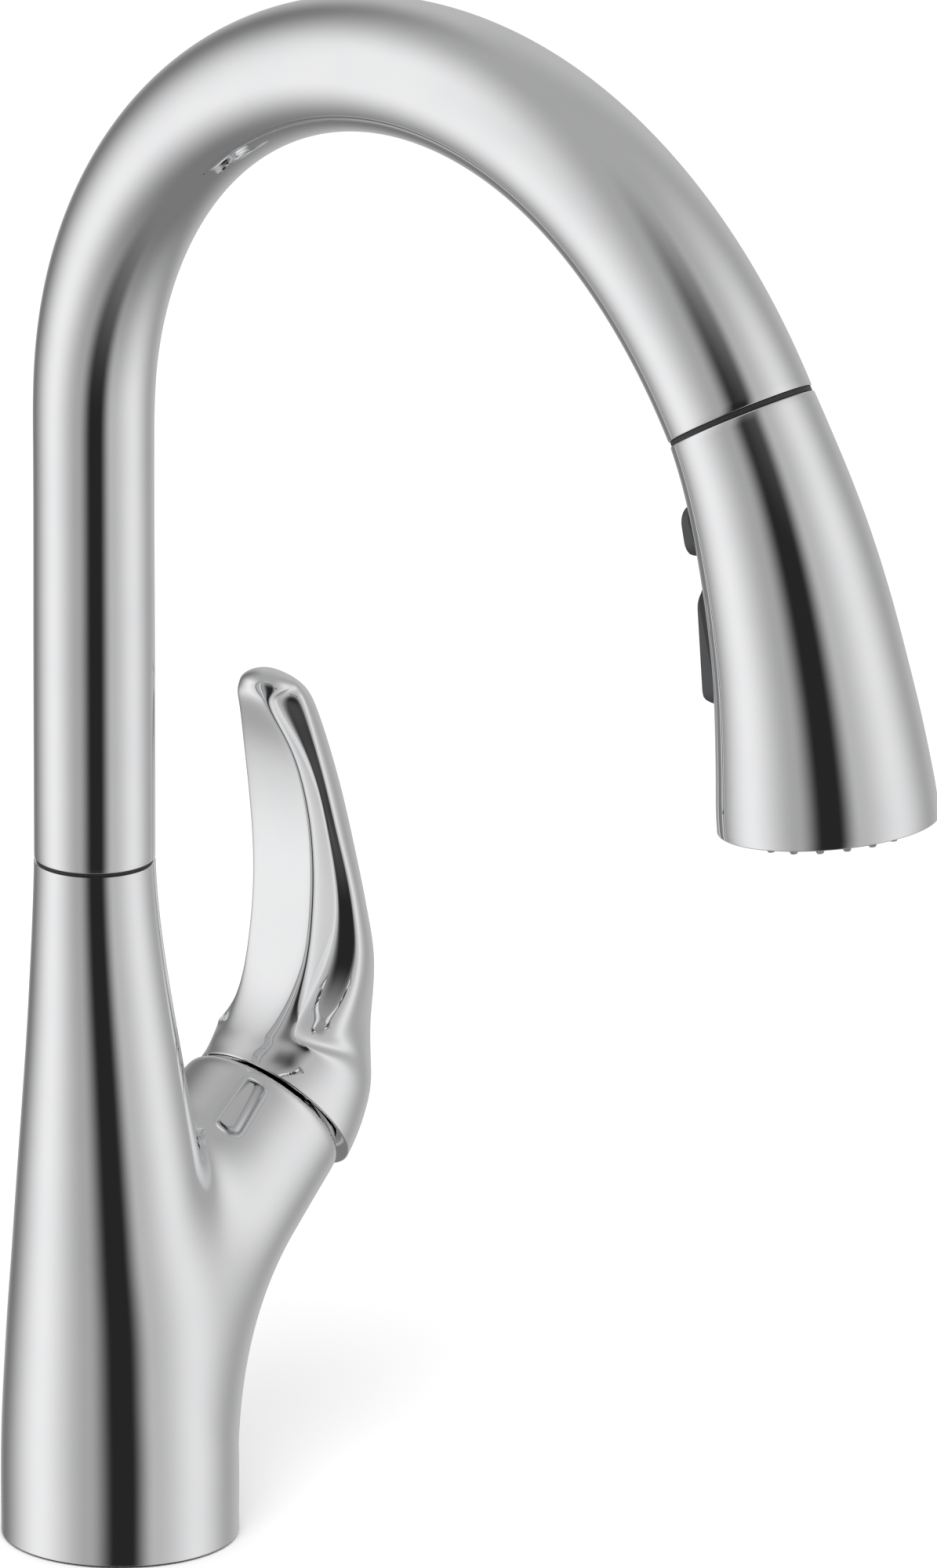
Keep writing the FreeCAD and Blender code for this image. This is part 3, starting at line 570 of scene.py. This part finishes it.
def radial(centre, direction, radius, height):
    """Moves a point to a radius and height about an axis, keeping its angle."""
    centre = np.array(centre, float)
    direction = np.array(direction, float)

    def move(p):
        away = p - centre
        away = away - np.dot(away, direction) * direction
        away = away / max(np.linalg.norm(away), 1e-9)
        return centre + direction * height + away * radius
    return move


def close_loop(bm, edges):
    """Fills a boundary loop with a fan to its middle."""
    verts = list({v for e in edges for v in e.verts})
    middle = sum((v.co for v in verts), Vector()) / len(verts)
    made = bmesh.ops.extrude_edge_only(bm, edges=edges)["geom"]
    tips = [g for g in made if isinstance(g, bmesh.types.BMVert)]
    bmesh.ops.pointmerge(bm, verts=tips, merge_co=middle)


def set_field_normals(obj, field, tolerance=0.02):
    """Shades every corner whose vertex lies on the field's surface with the field's own normal."""
    mesh = obj.data
    p = np.empty(len(mesh.vertices) * 3)
    mesh.vertices.foreach_get("co", p)
    p = p.reshape(-1, 3) / MM
    slope = gradient(field, p)
    exact = slope / np.maximum(np.linalg.norm(slope, axis=1), 1e-9)[:, None]
    on_surface = np.abs(field(p)) < tolerance
    corner_vertex = np.empty(len(mesh.loops), int)
    mesh.loops.foreach_get("vertex_index", corner_vertex)
    normals = np.empty(len(mesh.loops) * 3)
    mesh.corner_normals.foreach_get("vector", normals)
    normals = normals.reshape(-1, 3)
    use = on_surface[corner_vertex] & ((normals * exact[corner_vertex]).sum(1) > 0.85)
    normals[use] = exact[corner_vertex][use]
    mesh.normals_split_custom_set([tuple(n) for n in normals])


def make_body():
    """Flared foot, tapering column and side branch as one flowing skin, with its bores."""
    zs = np.linspace(-8, SEAM_Z + 8, 90)
    centres = [np.array([column_x(z), 0, z]) for z in zs]
    column = circle_rows(centres, [np.array([0.0, 0, 1])] * len(zs), column_r(zs), 96)
    lengths = np.linspace(-8, BRANCH_LEN, 60)
    spine = []
    for length in lengths:
        if length < BRANCH_START:
            spine.append((np.array([0.0, 0, length]), np.array([0.0, 0, 1])))
            continue
        angle = (length - BRANCH_START) / BRANCH_ARC
        if angle < ARC_TURN:
            point = np.array([BRANCH_ARC * (1 - math.cos(angle)), 0,
                              BRANCH_START + BRANCH_ARC * math.sin(angle)])
            spine.append((point, np.array([math.sin(angle), 0, math.cos(angle)])))
        else:
            spine.append((BRANCH_RIM + BRANCH_DIR * (length - BRANCH_LEN), BRANCH_DIR))
    radii = branch_r(lengths / BRANCH_LEN)
    branch = circle_rows([c for c, _ in spine], [d for _, d in spine], radii, 96)
    rough = []
    for rows in (column, branch):
        part = grid_object("rough", rows)
        bm = bmesh.new()
        bm.from_mesh(part.data)
        for _ in range(2):
            rims = [e for e in bm.edges if e.is_boundary]
            if rims:
                bmesh.ops.holes_fill(bm, edges=rims, sides=0)
        bmesh.ops.recalc_face_normals(bm, faces=bm.faces)
        bm.to_mesh(part.data)
        bm.free()
        rough.append(part)
    with bpy.context.temp_override(active_object=rough[0], object=rough[0],
                                   selected_objects=rough, selected_editable_objects=rough):
        bpy.ops.object.join()
    body = rough[0]
    body.name = "body_shell"
    remeshed(body, 1.15)
    relax_onto(body, body_distance)
    bm = bmesh.new()
    bm.from_mesh(body.data)
    up = (0, 0, 1)
    foot = slice_off(bm, (0, 0, FOOT_Z + 0.45), (0, 0, -1))
    top = slice_off(bm, (0, 0, SEAM_Z - 0.3), up)
    inside = [f for f in bm.faces if in_dome_seat(np.array(f.calc_center_median()) / MM)]
    bmesh.ops.delete(bm, geom=inside, context="FACES")
    bm.edges.ensure_lookup_table()
    known = set(foot) | set(top)
    mouth = [e for e in bm.edges if e.is_boundary and e not in known]
    seat = radial(BRANCH_RIM, BRANCH_DIR, SEAT_R, 0.0)
    for vert in {v for e in mouth for v in e.verts}:
        vert.co = Vector(seat(np.array(vert.co) / MM)) * MM
    for radius, height in ((SEAT_R - 0.01, -SEAT_DEPTH), (BORE_R, -SEAT_DEPTH - 0.01),
                           (BORE_R, -BORE_DEPTH)):
        mouth = extend_loop(bm, mouth, radial(BRANCH_RIM, BRANCH_DIR, radius, height))
    close_loop(bm, mouth)
    for radius, height in ((29.3, FOOT_Z + 0.12), (28.95, FOOT_Z),
                           (RECESS_R, FOOT_Z), (RECESS_R, RECESS_TOP),
                           (SHANK_HOLE_R, RECESS_TOP + 0.01), (SHANK_HOLE_R, SHANK_HOLE_TOP)):
        foot = extend_loop(bm, foot, radial((0, 0, 0), up, radius, height))
    close_loop(bm, foot)
    for radius, height in ((14.93, SEAM_Z - 0.08), (14.7, SEAM_Z), (12.5, SEAM_Z),
                           (12.49, SEAM_Z - 20)):
        top = extend_loop(bm, top, radial((SPOUT_X, 0, 0), up, radius, height))
    close_loop(bm, top)
    bmesh.ops.recalc_face_normals(bm, faces=bm.faces)
    bm.to_mesh(body.data)
    bm.free()
    body.data.polygons.foreach_set("use_smooth", [True] * len(body.data.polygons))
    sharp_where(body, 38)
    set_field_normals(body, body_distance)
    return finish_piece(body, "base", "polished_chrome", "valve_body")


def in_dome_seat(p):
    away = p - BRANCH_RIM
    q = np.dot(away, BRANCH_DIR)
    return abs(q) < 1.5 and np.linalg.norm(away - q * BRANCH_DIR) < SEAT_R


# ---- spout and spray head -----------------------------------------------------------------
def shell_rows(s_values, law, origin, inset, around):
    centres, directions, radii = [], [], []
    for s in s_values:
        centre, direction = station(s)
        centres.append(centre)
        directions.append(direction)
        radii.append(float(law(s - origin)) - inset)
    return circle_rows(centres, directions, radii, around)


def make_tube(name, low, high, law, origin, wall, edge, around=192, step=1.6):
    """Closed tube with rounded lips: the outside from low to high, then back up the inside."""
    outside = list(np.linspace(low + edge, high - edge, int((high - low) / step)))
    arc = [edge * (1 - math.cos(a)) for a in (0.39, 0.79, 1.18)]
    ride = [edge * math.sin(a) for a in (0.39, 0.79, 1.18)]
    s_values = [low + edge - r for r in ride[::-1]] + outside + [high - edge + r for r in ride]
    insets = arc[::-1] + [0.0] * len(outside) + arc
    inner = list(np.linspace(high - 0.01, low + 0.01, int((high - low) / 6)))
    s_values += [high] + inner + [low]
    insets += [edge + 0.05] + [wall] * len(inner) + [edge + 0.05]
    rows = []
    for s, inset in zip(s_values, insets):
        rows.append(shell_rows([s], law, origin, inset, around)[0])
    tube = face_outwards(grid_object(name, np.array(rows), close_rows=True))
    return sharp_where(tube, 40)


def make_spout():
    tube = make_tube("spout_shell", 0, SPOUT_LEN, spout_r, 0, TUBE_WALL, 0.25)
    finish_piece(tube, "spout", "polished_chrome", "spout_tube")
    head = make_tube("spray_head_shell", SPOUT_LEN + RING_LEN, HEAD_END, head_r, SPOUT_LEN,
                     HEAD_WALL, 0.35)
    finish_piece(head, "spray_head", "polished_chrome", "head_shell")
    dock, dock_dir = station(SPOUT_LEN)
    radius = float(spout_r(SPOUT_LEN)) - 0.35
    collar = lathe("seam_ring", rounded_outline([(15.2, 0.1, 0), (radius, 0.1, 0.12),
                                                 (radius, RING_LEN, 0.12), (15.2, RING_LEN, 0)]),
                   dock, dock_dir, 160)
    sharp_where(collar, 60)
    finish_piece(collar, "spray_head", "black_plastic", "head_collar_ring")
    swivel = lathe("swivel_seam_ring",
                   rounded_outline([(12.6, 0, 0), (14.45, 0, 0.15), (14.45, SWIVEL_GAP - 0.03, 0.15),
                                    (12.6, SWIVEL_GAP - 0.03, 0)]),
                   np.array([SPOUT_X, 0, SEAM_Z]), np.array([0.0, 0, 1]), 160)
    finish_piece(sharp_where(swivel, 60), "base", "black_plastic", "swivel_ring")


def button_frame(along):
    """A point on the head's inner side, the direction towards the rim, and the way out."""
    point, direction = station(SPOUT_LEN + along)
    outward = np.cross(direction, (1.0, 0.0, 0.0))
    outward = outward * np.sign(outward[1])
    return point + outward * float(head_r(along)), np.cross(outward, (1.0, 0.0, 0.0)), outward


def rounded_rectangle(width, height, corner, steps=9):
    """Outline points, corner by corner, of a rectangle with rounded corners."""
    corner = max(corner, 0.15)
    points = []
    for k, (sx, sy) in enumerate(((1, 1), (-1, 1), (-1, -1), (1, -1))):
        for turn in np.linspace(0, math.pi / 2, steps) + k * math.pi / 2:
            points.append((sx * (width / 2 - corner) + corner * math.cos(turn),
                           sy * (height / 2 - corner) + corner * math.sin(turn)))
    return np.array(points)


def local_rows(along, outlines):
    """Rows in the frame of a button from (outline, heights) pairs."""
    origin, down, outward = button_frame(along)
    rows = []
    for outline, heights in outlines:
        rows.append(origin + np.outer(outline[:, 0], (1.0, 0.0, 0.0))
                    + np.outer(outline[:, 1], down) + np.outer(heights, outward))
    return np.array(rows)


def make_button(name, body):
    """Bezel and moulded button whose face slopes, with rounded edges and a chamfered lip."""
    along, width, height, corner, upper, lower, chamfer = BUTTONS[name]
    end = height / 2

    def face(y, drop):
        return np.interp(y, (-end, 1 - end, end - chamfer, end),
                         (upper - 0.5, upper, lower, lower - chamfer)) - drop

    edge = 0.5
    outlines = []
    for share in (0.04, 0.5, 1.0):
        outline = rounded_rectangle(width, height, corner) * share
        outlines.append((outline, np.full(len(outline), -CAP_DEPTH)))
    for turn in np.linspace(0, math.pi / 2, 6):
        inset = edge * (1 - math.cos(turn))
        outline = rounded_rectangle(width - 2 * inset, height - 2 * inset, corner - inset)
        outlines.append((outline, face(outline[:, 1], edge * (1 - math.sin(turn)))))
    for inset in (0.9, 1.4, 1.9, 2.4, 3.0, 3.6):
        outline = rounded_rectangle(width - 2 * inset, height - 2 * inset, corner - inset)
        dish = 0.06 * (inset - edge)
        outlines.append((outline, face(outline[:, 1], dish)))
    last = outlines[-1][0]
    for share in (0.7, 0.4, 0.03):
        outlines.append((last * share, face(last[:, 1] * share, dish + 0.15 * (1 - share))))
    cap = grid_object(name + "_button_cap", local_rows(along, outlines))
    bm = bmesh.new()
    bm.from_mesh(cap.data)
    bmesh.ops.holes_fill(bm, edges=[e for e in bm.edges if e.is_boundary], sides=0)
    bm.to_mesh(cap.data)
    bm.free()
    sharp_where(face_outwards(cap), 50)
    finish_piece(cap, body, "button_grey", name + "_button")
    outlines = []
    for margin, level in ((1.4, -BEZEL_DEPTH), (1.4, 0.0), (1.3, 0.14), (1.1, 0.2), (0.6, 0.2),
                          (0.4, 0.14), (0.3, 0.0), (0.3, -BEZEL_DEPTH)):
        outline = rounded_rectangle(width + 2 * margin, height + 2 * margin, corner + margin)
        outlines.append((outline, np.full(len(outline), level)))
    bezel = grid_object(name + "_bezel_ring", local_rows(along, outlines), close_rows=True)
    sharp_where(face_outwards(bezel), 50)
    finish_piece(bezel, "spray_head", "black_plastic", name + "_bezel")


def make_nozzles():
    """Three rings of soft nozzles, each with its bore, standing just past the rim."""
    rim, direction = station(HEAD_END)
    across, third = frame_axes(direction)
    outline = [(0.35, -8), (1.1, -8), (1.1, 0.2), (1.0, 1.6), (0.8, 2.0), (0.45, 2.0),
               (0.35, 1.8)]
    parts = []
    for radius, count in ((13.0, 12), (17.0, 16), (21.0, 20)):
        for turn in np.linspace(0, 2 * math.pi, count, endpoint=False):
            foot = rim + radius * (math.cos(turn) * across + math.sin(turn) * third)
            parts.append(lathe("soft_nozzles", outline, foot, direction, 20))
    with bpy.context.temp_override(active_object=parts[0], object=parts[0],
                                   selected_objects=parts, selected_editable_objects=parts):
        bpy.ops.object.join()
    sharp_where(parts[0], 50)
    finish_piece(parts[0], "spray_head", "grey_rubber", "spray_nozzles")


def hose_rows(stations, around=72):
    rows = []
    centres = [station(s)[0] + (0, 0, min(s, 0)) for s in stations]
    directions = [station(s)[1] for s in stations]
    for radius, order in ((HOSE_R, 1), (HOSE_R - HOSE_WALL, -1)):
        rows.append(circle_rows(centres[::order], directions[::order],
                                [radius] * len(stations), around))
    return np.concatenate(rows)


def make_hose():
    """Pull-out hose: a fixed run up the riser and arch, and an end built as a separate piece."""
    joint = HOSE_END - HOSE_STRETCH
    riser = SEAM_Z + SWIVEL_GAP
    foot = HOSE_LOW - riser
    run = grid_object("hose_run", hose_rows([foot] + list(np.linspace(-2, joint, 180))),
                      close_rows=True)
    sharp_where(face_outwards(run), 60)
    finish_piece(run, "spout", "hose_braid", "pull_hose")
    tail = grid_object("hose_tail", hose_rows(list(np.linspace(joint + 0.02, HOSE_END, 120))),
                       close_rows=True)
    sharp_where(face_outwards(tail), 60)
    tail.data.materials.clear()
    tail.data.materials.append(MATERIALS["hose_braid"])
    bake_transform(tail)


# ---- lever handle -------------------------------------------------------------------------
def handle_cage():
    """Control points of the handle: one closed row per station."""
    steps = 12
    overshoot = 1.0115
    turns = np.pi * np.arange(steps + 1) / steps
    rows = []
    for station_row in HANDLE:
        inner_x, inner_z, outer_x, outer_z, lip, rim, crease, flare, face, flank = station_row
        share = np.linspace(0, 1, steps + 1)
        round_w = lip + (rim - lip) * np.minimum(1, 2 * share)
        step = rim - lip
        span = flare - crease
        blade_d = np.array([0, 0, 0.0, 0.02, 0.5 * crease, crease - 0.02, crease + 0.02,
                            crease + 0.5 * span, flare, flare + 0.05,
                            flare + 0.4 * (1 - flare), 1.0, 1.0])
        blade_w = np.array([0, 0.5 * lip, 0.93 * lip, 1.02 * lip, 1.02 * lip, 1.0 * lip,
                            1.0 * lip, lip + 0.34 * step, lip + 0.97 * step, rim * 1.03,
                            0.97 * rim, 0.6 * rim, 0])
        mix = np.array([face] * 4 + [(face + flank) / 2] + [flank] * 4 + [(face + flank) / 2]
                       + [face] * 3)
        deep = mix * (0.5 - 0.5 * overshoot * np.cos(turns)) + (1 - mix) * blade_d
        wide = mix * overshoot * round_w * np.sin(turns) + (1 - mix) * blade_w
        x = inner_x + deep * (outer_x - inner_x)
        z = inner_z + deep * (outer_z - inner_z)
        near = np.stack([x, -wide, z], 1)
        far = np.stack([x, wide, z], 1)[-2:0:-1]
        rows.append(np.concatenate([near, far]))
    return np.array(rows)


def cubic_weights(t):
    return np.array([(1 - t)**3, 3 * t**3 - 6 * t**2 + 4, -3 * t**3 + 3 * t**2 + 3 * t + 1,
                     t**3]) / 6


def smooth_surface(cage, fine_rows, fine_around):
    """Uniform cubic B-spline surface over a cage whose rows are closed loops."""
    weights = cubic_weights(np.linspace(0, 1, fine_around, endpoint=False))
    around = cage.shape[1]
    strips = []
    for k in range(around):
        four = cage[:, [(k - 1) % around, k, (k + 1) % around, (k + 2) % around]]
        strips.append(np.einsum("jm,njc->nmc", weights, four))
    loops = np.concatenate(strips, 1)
    rows = []
    weights = cubic_weights(np.linspace(0, 1, fine_rows, endpoint=False))
    for k in range(len(cage) - 3):
        rows.append(np.einsum("jm,jpc->mpc", weights, loops[k:k + 4]))
    rows.append(np.einsum("jm,jpc->mpc", cubic_weights(np.array([1.0])), loops[-4:]))
    return np.concatenate(rows)


def make_handle():
    rows = smooth_surface(handle_cage(), 16, 16)
    handle = grid_object("lever", rows)
    bm = bmesh.new()
    bm.from_mesh(handle.data)
    tip_rows = [e for e in bm.edges if e.is_boundary and e.verts[0].co.z > 0.2]
    close_loop(bm, tip_rows)
    tilt = math.atan((SKIRT_GAP_LOW - SKIRT_GAP_TOP) / (2 * RIM_R))
    normal = BRANCH_DIR * math.cos(tilt) - BRANCH_OUT * math.sin(tilt)
    base = BRANCH_RIM + BRANCH_DIR * (SKIRT_GAP_TOP + SKIRT_GAP_LOW) / 2
    edge = 0.45
    skirt = slice_off(bm, base + normal * edge, -normal)
    pivot = BRANCH_RIM + BRANCH_DIR * PIVOT_Q

    def rounding(angle, before):
        """Steps the skirt's edge round a quarter circle of the edge radius."""
        def move(p):
            away = p - base
            away = away - np.dot(away, normal) * normal
            inward = away / np.linalg.norm(away)
            drop = edge * (math.sin(angle) - math.sin(before))
            inset = edge * (math.cos(before) - math.cos(angle))
            return p - normal * drop - inward * inset
        return move

    before = 0.0
    for angle in (0.4, 0.8, 1.2, math.pi / 2):
        skirt = extend_loop(bm, skirt, rounding(angle, before))
        before = angle

    def to_cavity(height):
        """Moves a point onto the cavity sphere at a height above the skirt plane."""
        def move(p):
            away = p - pivot
            lift = np.dot(base - pivot, normal) + height
            away = away - np.dot(away, normal) * normal
            away = away / np.linalg.norm(away)
            return pivot + normal * lift + away * math.sqrt(CAVITY_R**2 - lift**2)
        return move

    for height in (0, 0.02, 1.2, 2.6, 4.0, 5.2, 6.2, 6.8):
        skirt = extend_loop(bm, skirt, to_cavity(height))
    close_loop(bm, skirt)
    bmesh.ops.recalc_face_normals(bm, faces=bm.faces)
    bm.to_mesh(handle.data)
    bm.free()
    handle.data.polygons.foreach_set("use_smooth", [True] * len(handle.data.polygons))
    sharp_where(handle, 40)
    return finish_piece(handle, "lever", "polished_chrome", "lever_handle")


# ---- light, floor and camera --------------------------------------------------------------
# Brightness round the object against the angle off the camera: two broad soft boxes, a narrow
# black flag between them beside the camera, and a dim back.
SOFT_BOXES = [(-180, 0.5), (-150, 0.2), (-85, 0.9), (-30, 0.4), (-5, 0.02), (12, 0.02),
              (35, 0.5), (80, 0.8), (130, 0.4), (160, 0.5)]
CEILING = 0.4
GROUND = 0.2
FADE_START = 20.0        # elevation where the boxes start to fade into the ceiling or the ground
FADE_END = 75.0


def azimuth_ramp(nodes, stops):
    ramp = nodes.new("ShaderNodeValToRGB")
    ramp.color_ramp.interpolation = "EASE"
    elements = ramp.color_ramp.elements
    wrapped = stops + [(180, stops[0][1])]
    while len(elements) < len(wrapped):
        elements.new(0.5)
    for element, (azimuth, level) in zip(elements, wrapped):
        element.position = (azimuth + 180) / 360
        element.color = (level, level, level, 1)
    return ramp


def faded(nodes, links, colour, elevation, level, sign):
    """Fades a colour into a plain brightness above (sign 1) or below (sign -1) the boxes."""
    fade = nodes.new("ShaderNodeMapRange")
    fade.interpolation_type = "SMOOTHSTEP"
    fade.inputs["From Min"].default_value = math.radians(FADE_START)
    fade.inputs["From Max"].default_value = math.radians(FADE_END)
    links.new(math_node(nodes, links, "MULTIPLY", elevation, sign), fade.inputs["Value"])
    mix = nodes.new("ShaderNodeMix")
    mix.data_type = "RGBA"
    mix.inputs["B"].default_value = (level, level, level, 1)
    links.new(fade.outputs["Result"], mix.inputs["Factor"])
    links.new(colour, mix.inputs["A"])
    return mix.outputs["Result"]


def math_node(nodes, links, operation, *values):
    node = nodes.new("ShaderNodeMath")
    node.operation = operation
    for socket, value in zip(node.inputs, values):
        if isinstance(value, (int, float)):
            socket.default_value = value
        else:
            links.new(value, socket)
    return node.outputs[0]


def make_studio():
    """Soft studio all round: white to the camera, soft boxes and a dark flag to the chrome."""
    world = bpy.data.worlds.new("studio")
    bpy.context.scene.world = world
    world.use_nodes = True
    nodes = world.node_tree.nodes
    links = world.node_tree.links
    nodes.clear()
    coord = nodes.new("ShaderNodeTexCoord")
    split = nodes.new("ShaderNodeSeparateXYZ")
    links.new(coord.outputs["Generated"], split.inputs[0])
    back = math_node(nodes, links, "MULTIPLY", split.outputs[1], -1.0)
    angle = math_node(nodes, links, "ARCTAN2", split.outputs[0], back)
    off_camera = math_node(nodes, links, "ADD", angle, math.radians(180 - CAMERA_AZ))
    share = math_node(nodes, links, "MULTIPLY", off_camera, 1 / (2 * math.pi))
    share = math_node(nodes, links, "FRACT", share)
    elevation = math_node(nodes, links, "ARCSINE", split.outputs[2])
    ramp = azimuth_ramp(nodes, SOFT_BOXES)
    links.new(share, ramp.inputs["Fac"])
    colour = faded(nodes, links, ramp.outputs["Color"], elevation, CEILING, 1)
    colour = faded(nodes, links, colour, elevation, GROUND, -1)
    seen = nodes.new("ShaderNodeLightPath")
    backdrop = nodes.new("ShaderNodeMix")
    backdrop.data_type = "RGBA"
    backdrop.inputs["B"].default_value = (1.0, 1.0, 1.0, 1)
    plain = math_node(nodes, links, "SUBTRACT", 1.0, seen.outputs["Is Glossy Ray"])
    links.new(plain, backdrop.inputs["Factor"])
    links.new(colour, backdrop.inputs["A"])
    shine = nodes.new("ShaderNodeBackground")
    links.new(backdrop.outputs["Result"], shine.inputs["Color"])
    out = nodes.new("ShaderNodeOutputWorld")
    links.new(shine.outputs[0], out.inputs["Surface"])


def add_area(name, location, target, size, power):
    data = bpy.data.lights.new(name, "AREA")
    data.shape = "DISK"
    data.size = size
    data.energy = power
    lamp = bpy.data.objects.new(name, data)
    lamp.location = location
    lamp.rotation_euler = (Vector(target) - Vector(location)).to_track_quat("-Z", "Y").to_euler()
    lamp.visible_glossy = False
    lamp.visible_camera = False
    bpy.context.scene.collection.objects.link(lamp)


def make_floor():
    """Plain pale floor; the studio is what the chrome mirrors, so it shows no floor."""
    size = 6.0
    floor = new_object("floor", [(-size, -size, 0), (size, -size, 0), (size, size, 0),
                                 (-size, size, 0)], [(0, 1, 2, 3)])
    mat, _, _, shader = new_material("pale_floor")
    shader.inputs["Base Color"].default_value = (0.88, 0.88, 0.88, 1)
    shader.inputs["Roughness"].default_value = 0.9
    shader.inputs["Specular IOR Level"].default_value = 0.1
    floor.data.materials.append(mat)
    floor.visible_glossy = False


AIM = (0.0861, 0.1845, 0.085)        # what the camera looks at: right, up and back, in metres
VIEW_HEIGHT = 0.384615               # height of the view there, in metres
LENS = 1040.0
SENSOR = 36.0


def make_camera():
    """Very long lens, so that the view is as good as parallel."""
    azimuth = math.radians(CAMERA_AZ)
    elevation = math.radians(CAMERA_EL)
    back = Vector((math.sin(azimuth) * math.cos(elevation),
                   -math.cos(azimuth) * math.cos(elevation), math.sin(elevation)))
    right = Vector((math.cos(azimuth), math.sin(azimuth), 0))
    up = back.cross(right)
    aim = right * AIM[0] + up * AIM[1] + back * AIM[2]
    data = bpy.data.cameras.new("camera")
    data.lens = LENS
    data.sensor_width = SENSOR
    distance = VIEW_HEIGHT * LENS / SENSOR
    data.clip_start = 0.5
    data.clip_end = 40.0
    camera = bpy.data.objects.new("camera", data)
    camera.location = aim + back * distance
    camera.rotation_mode = "QUATERNION"
    camera.rotation_quaternion = (-back).to_track_quat("-Z", "Y")
    bpy.context.scene.collection.objects.link(camera)
    bpy.context.scene.camera = camera


def main():
    bpy.context.scene.view_settings.view_transform = "Standard"
    paint_frame()
    make_body()
    make_spout()
    make_nozzles()
    make_hose()
    make_button("spray", "spray_button")
    make_button("pause", "pause_button")
    make_handle()
    make_studio()
    make_floor()
    add_area("key", (-1.6, -1.2, 2.6), (0, -0.1, 0.1), 2.2, 60)
    make_camera()


main()
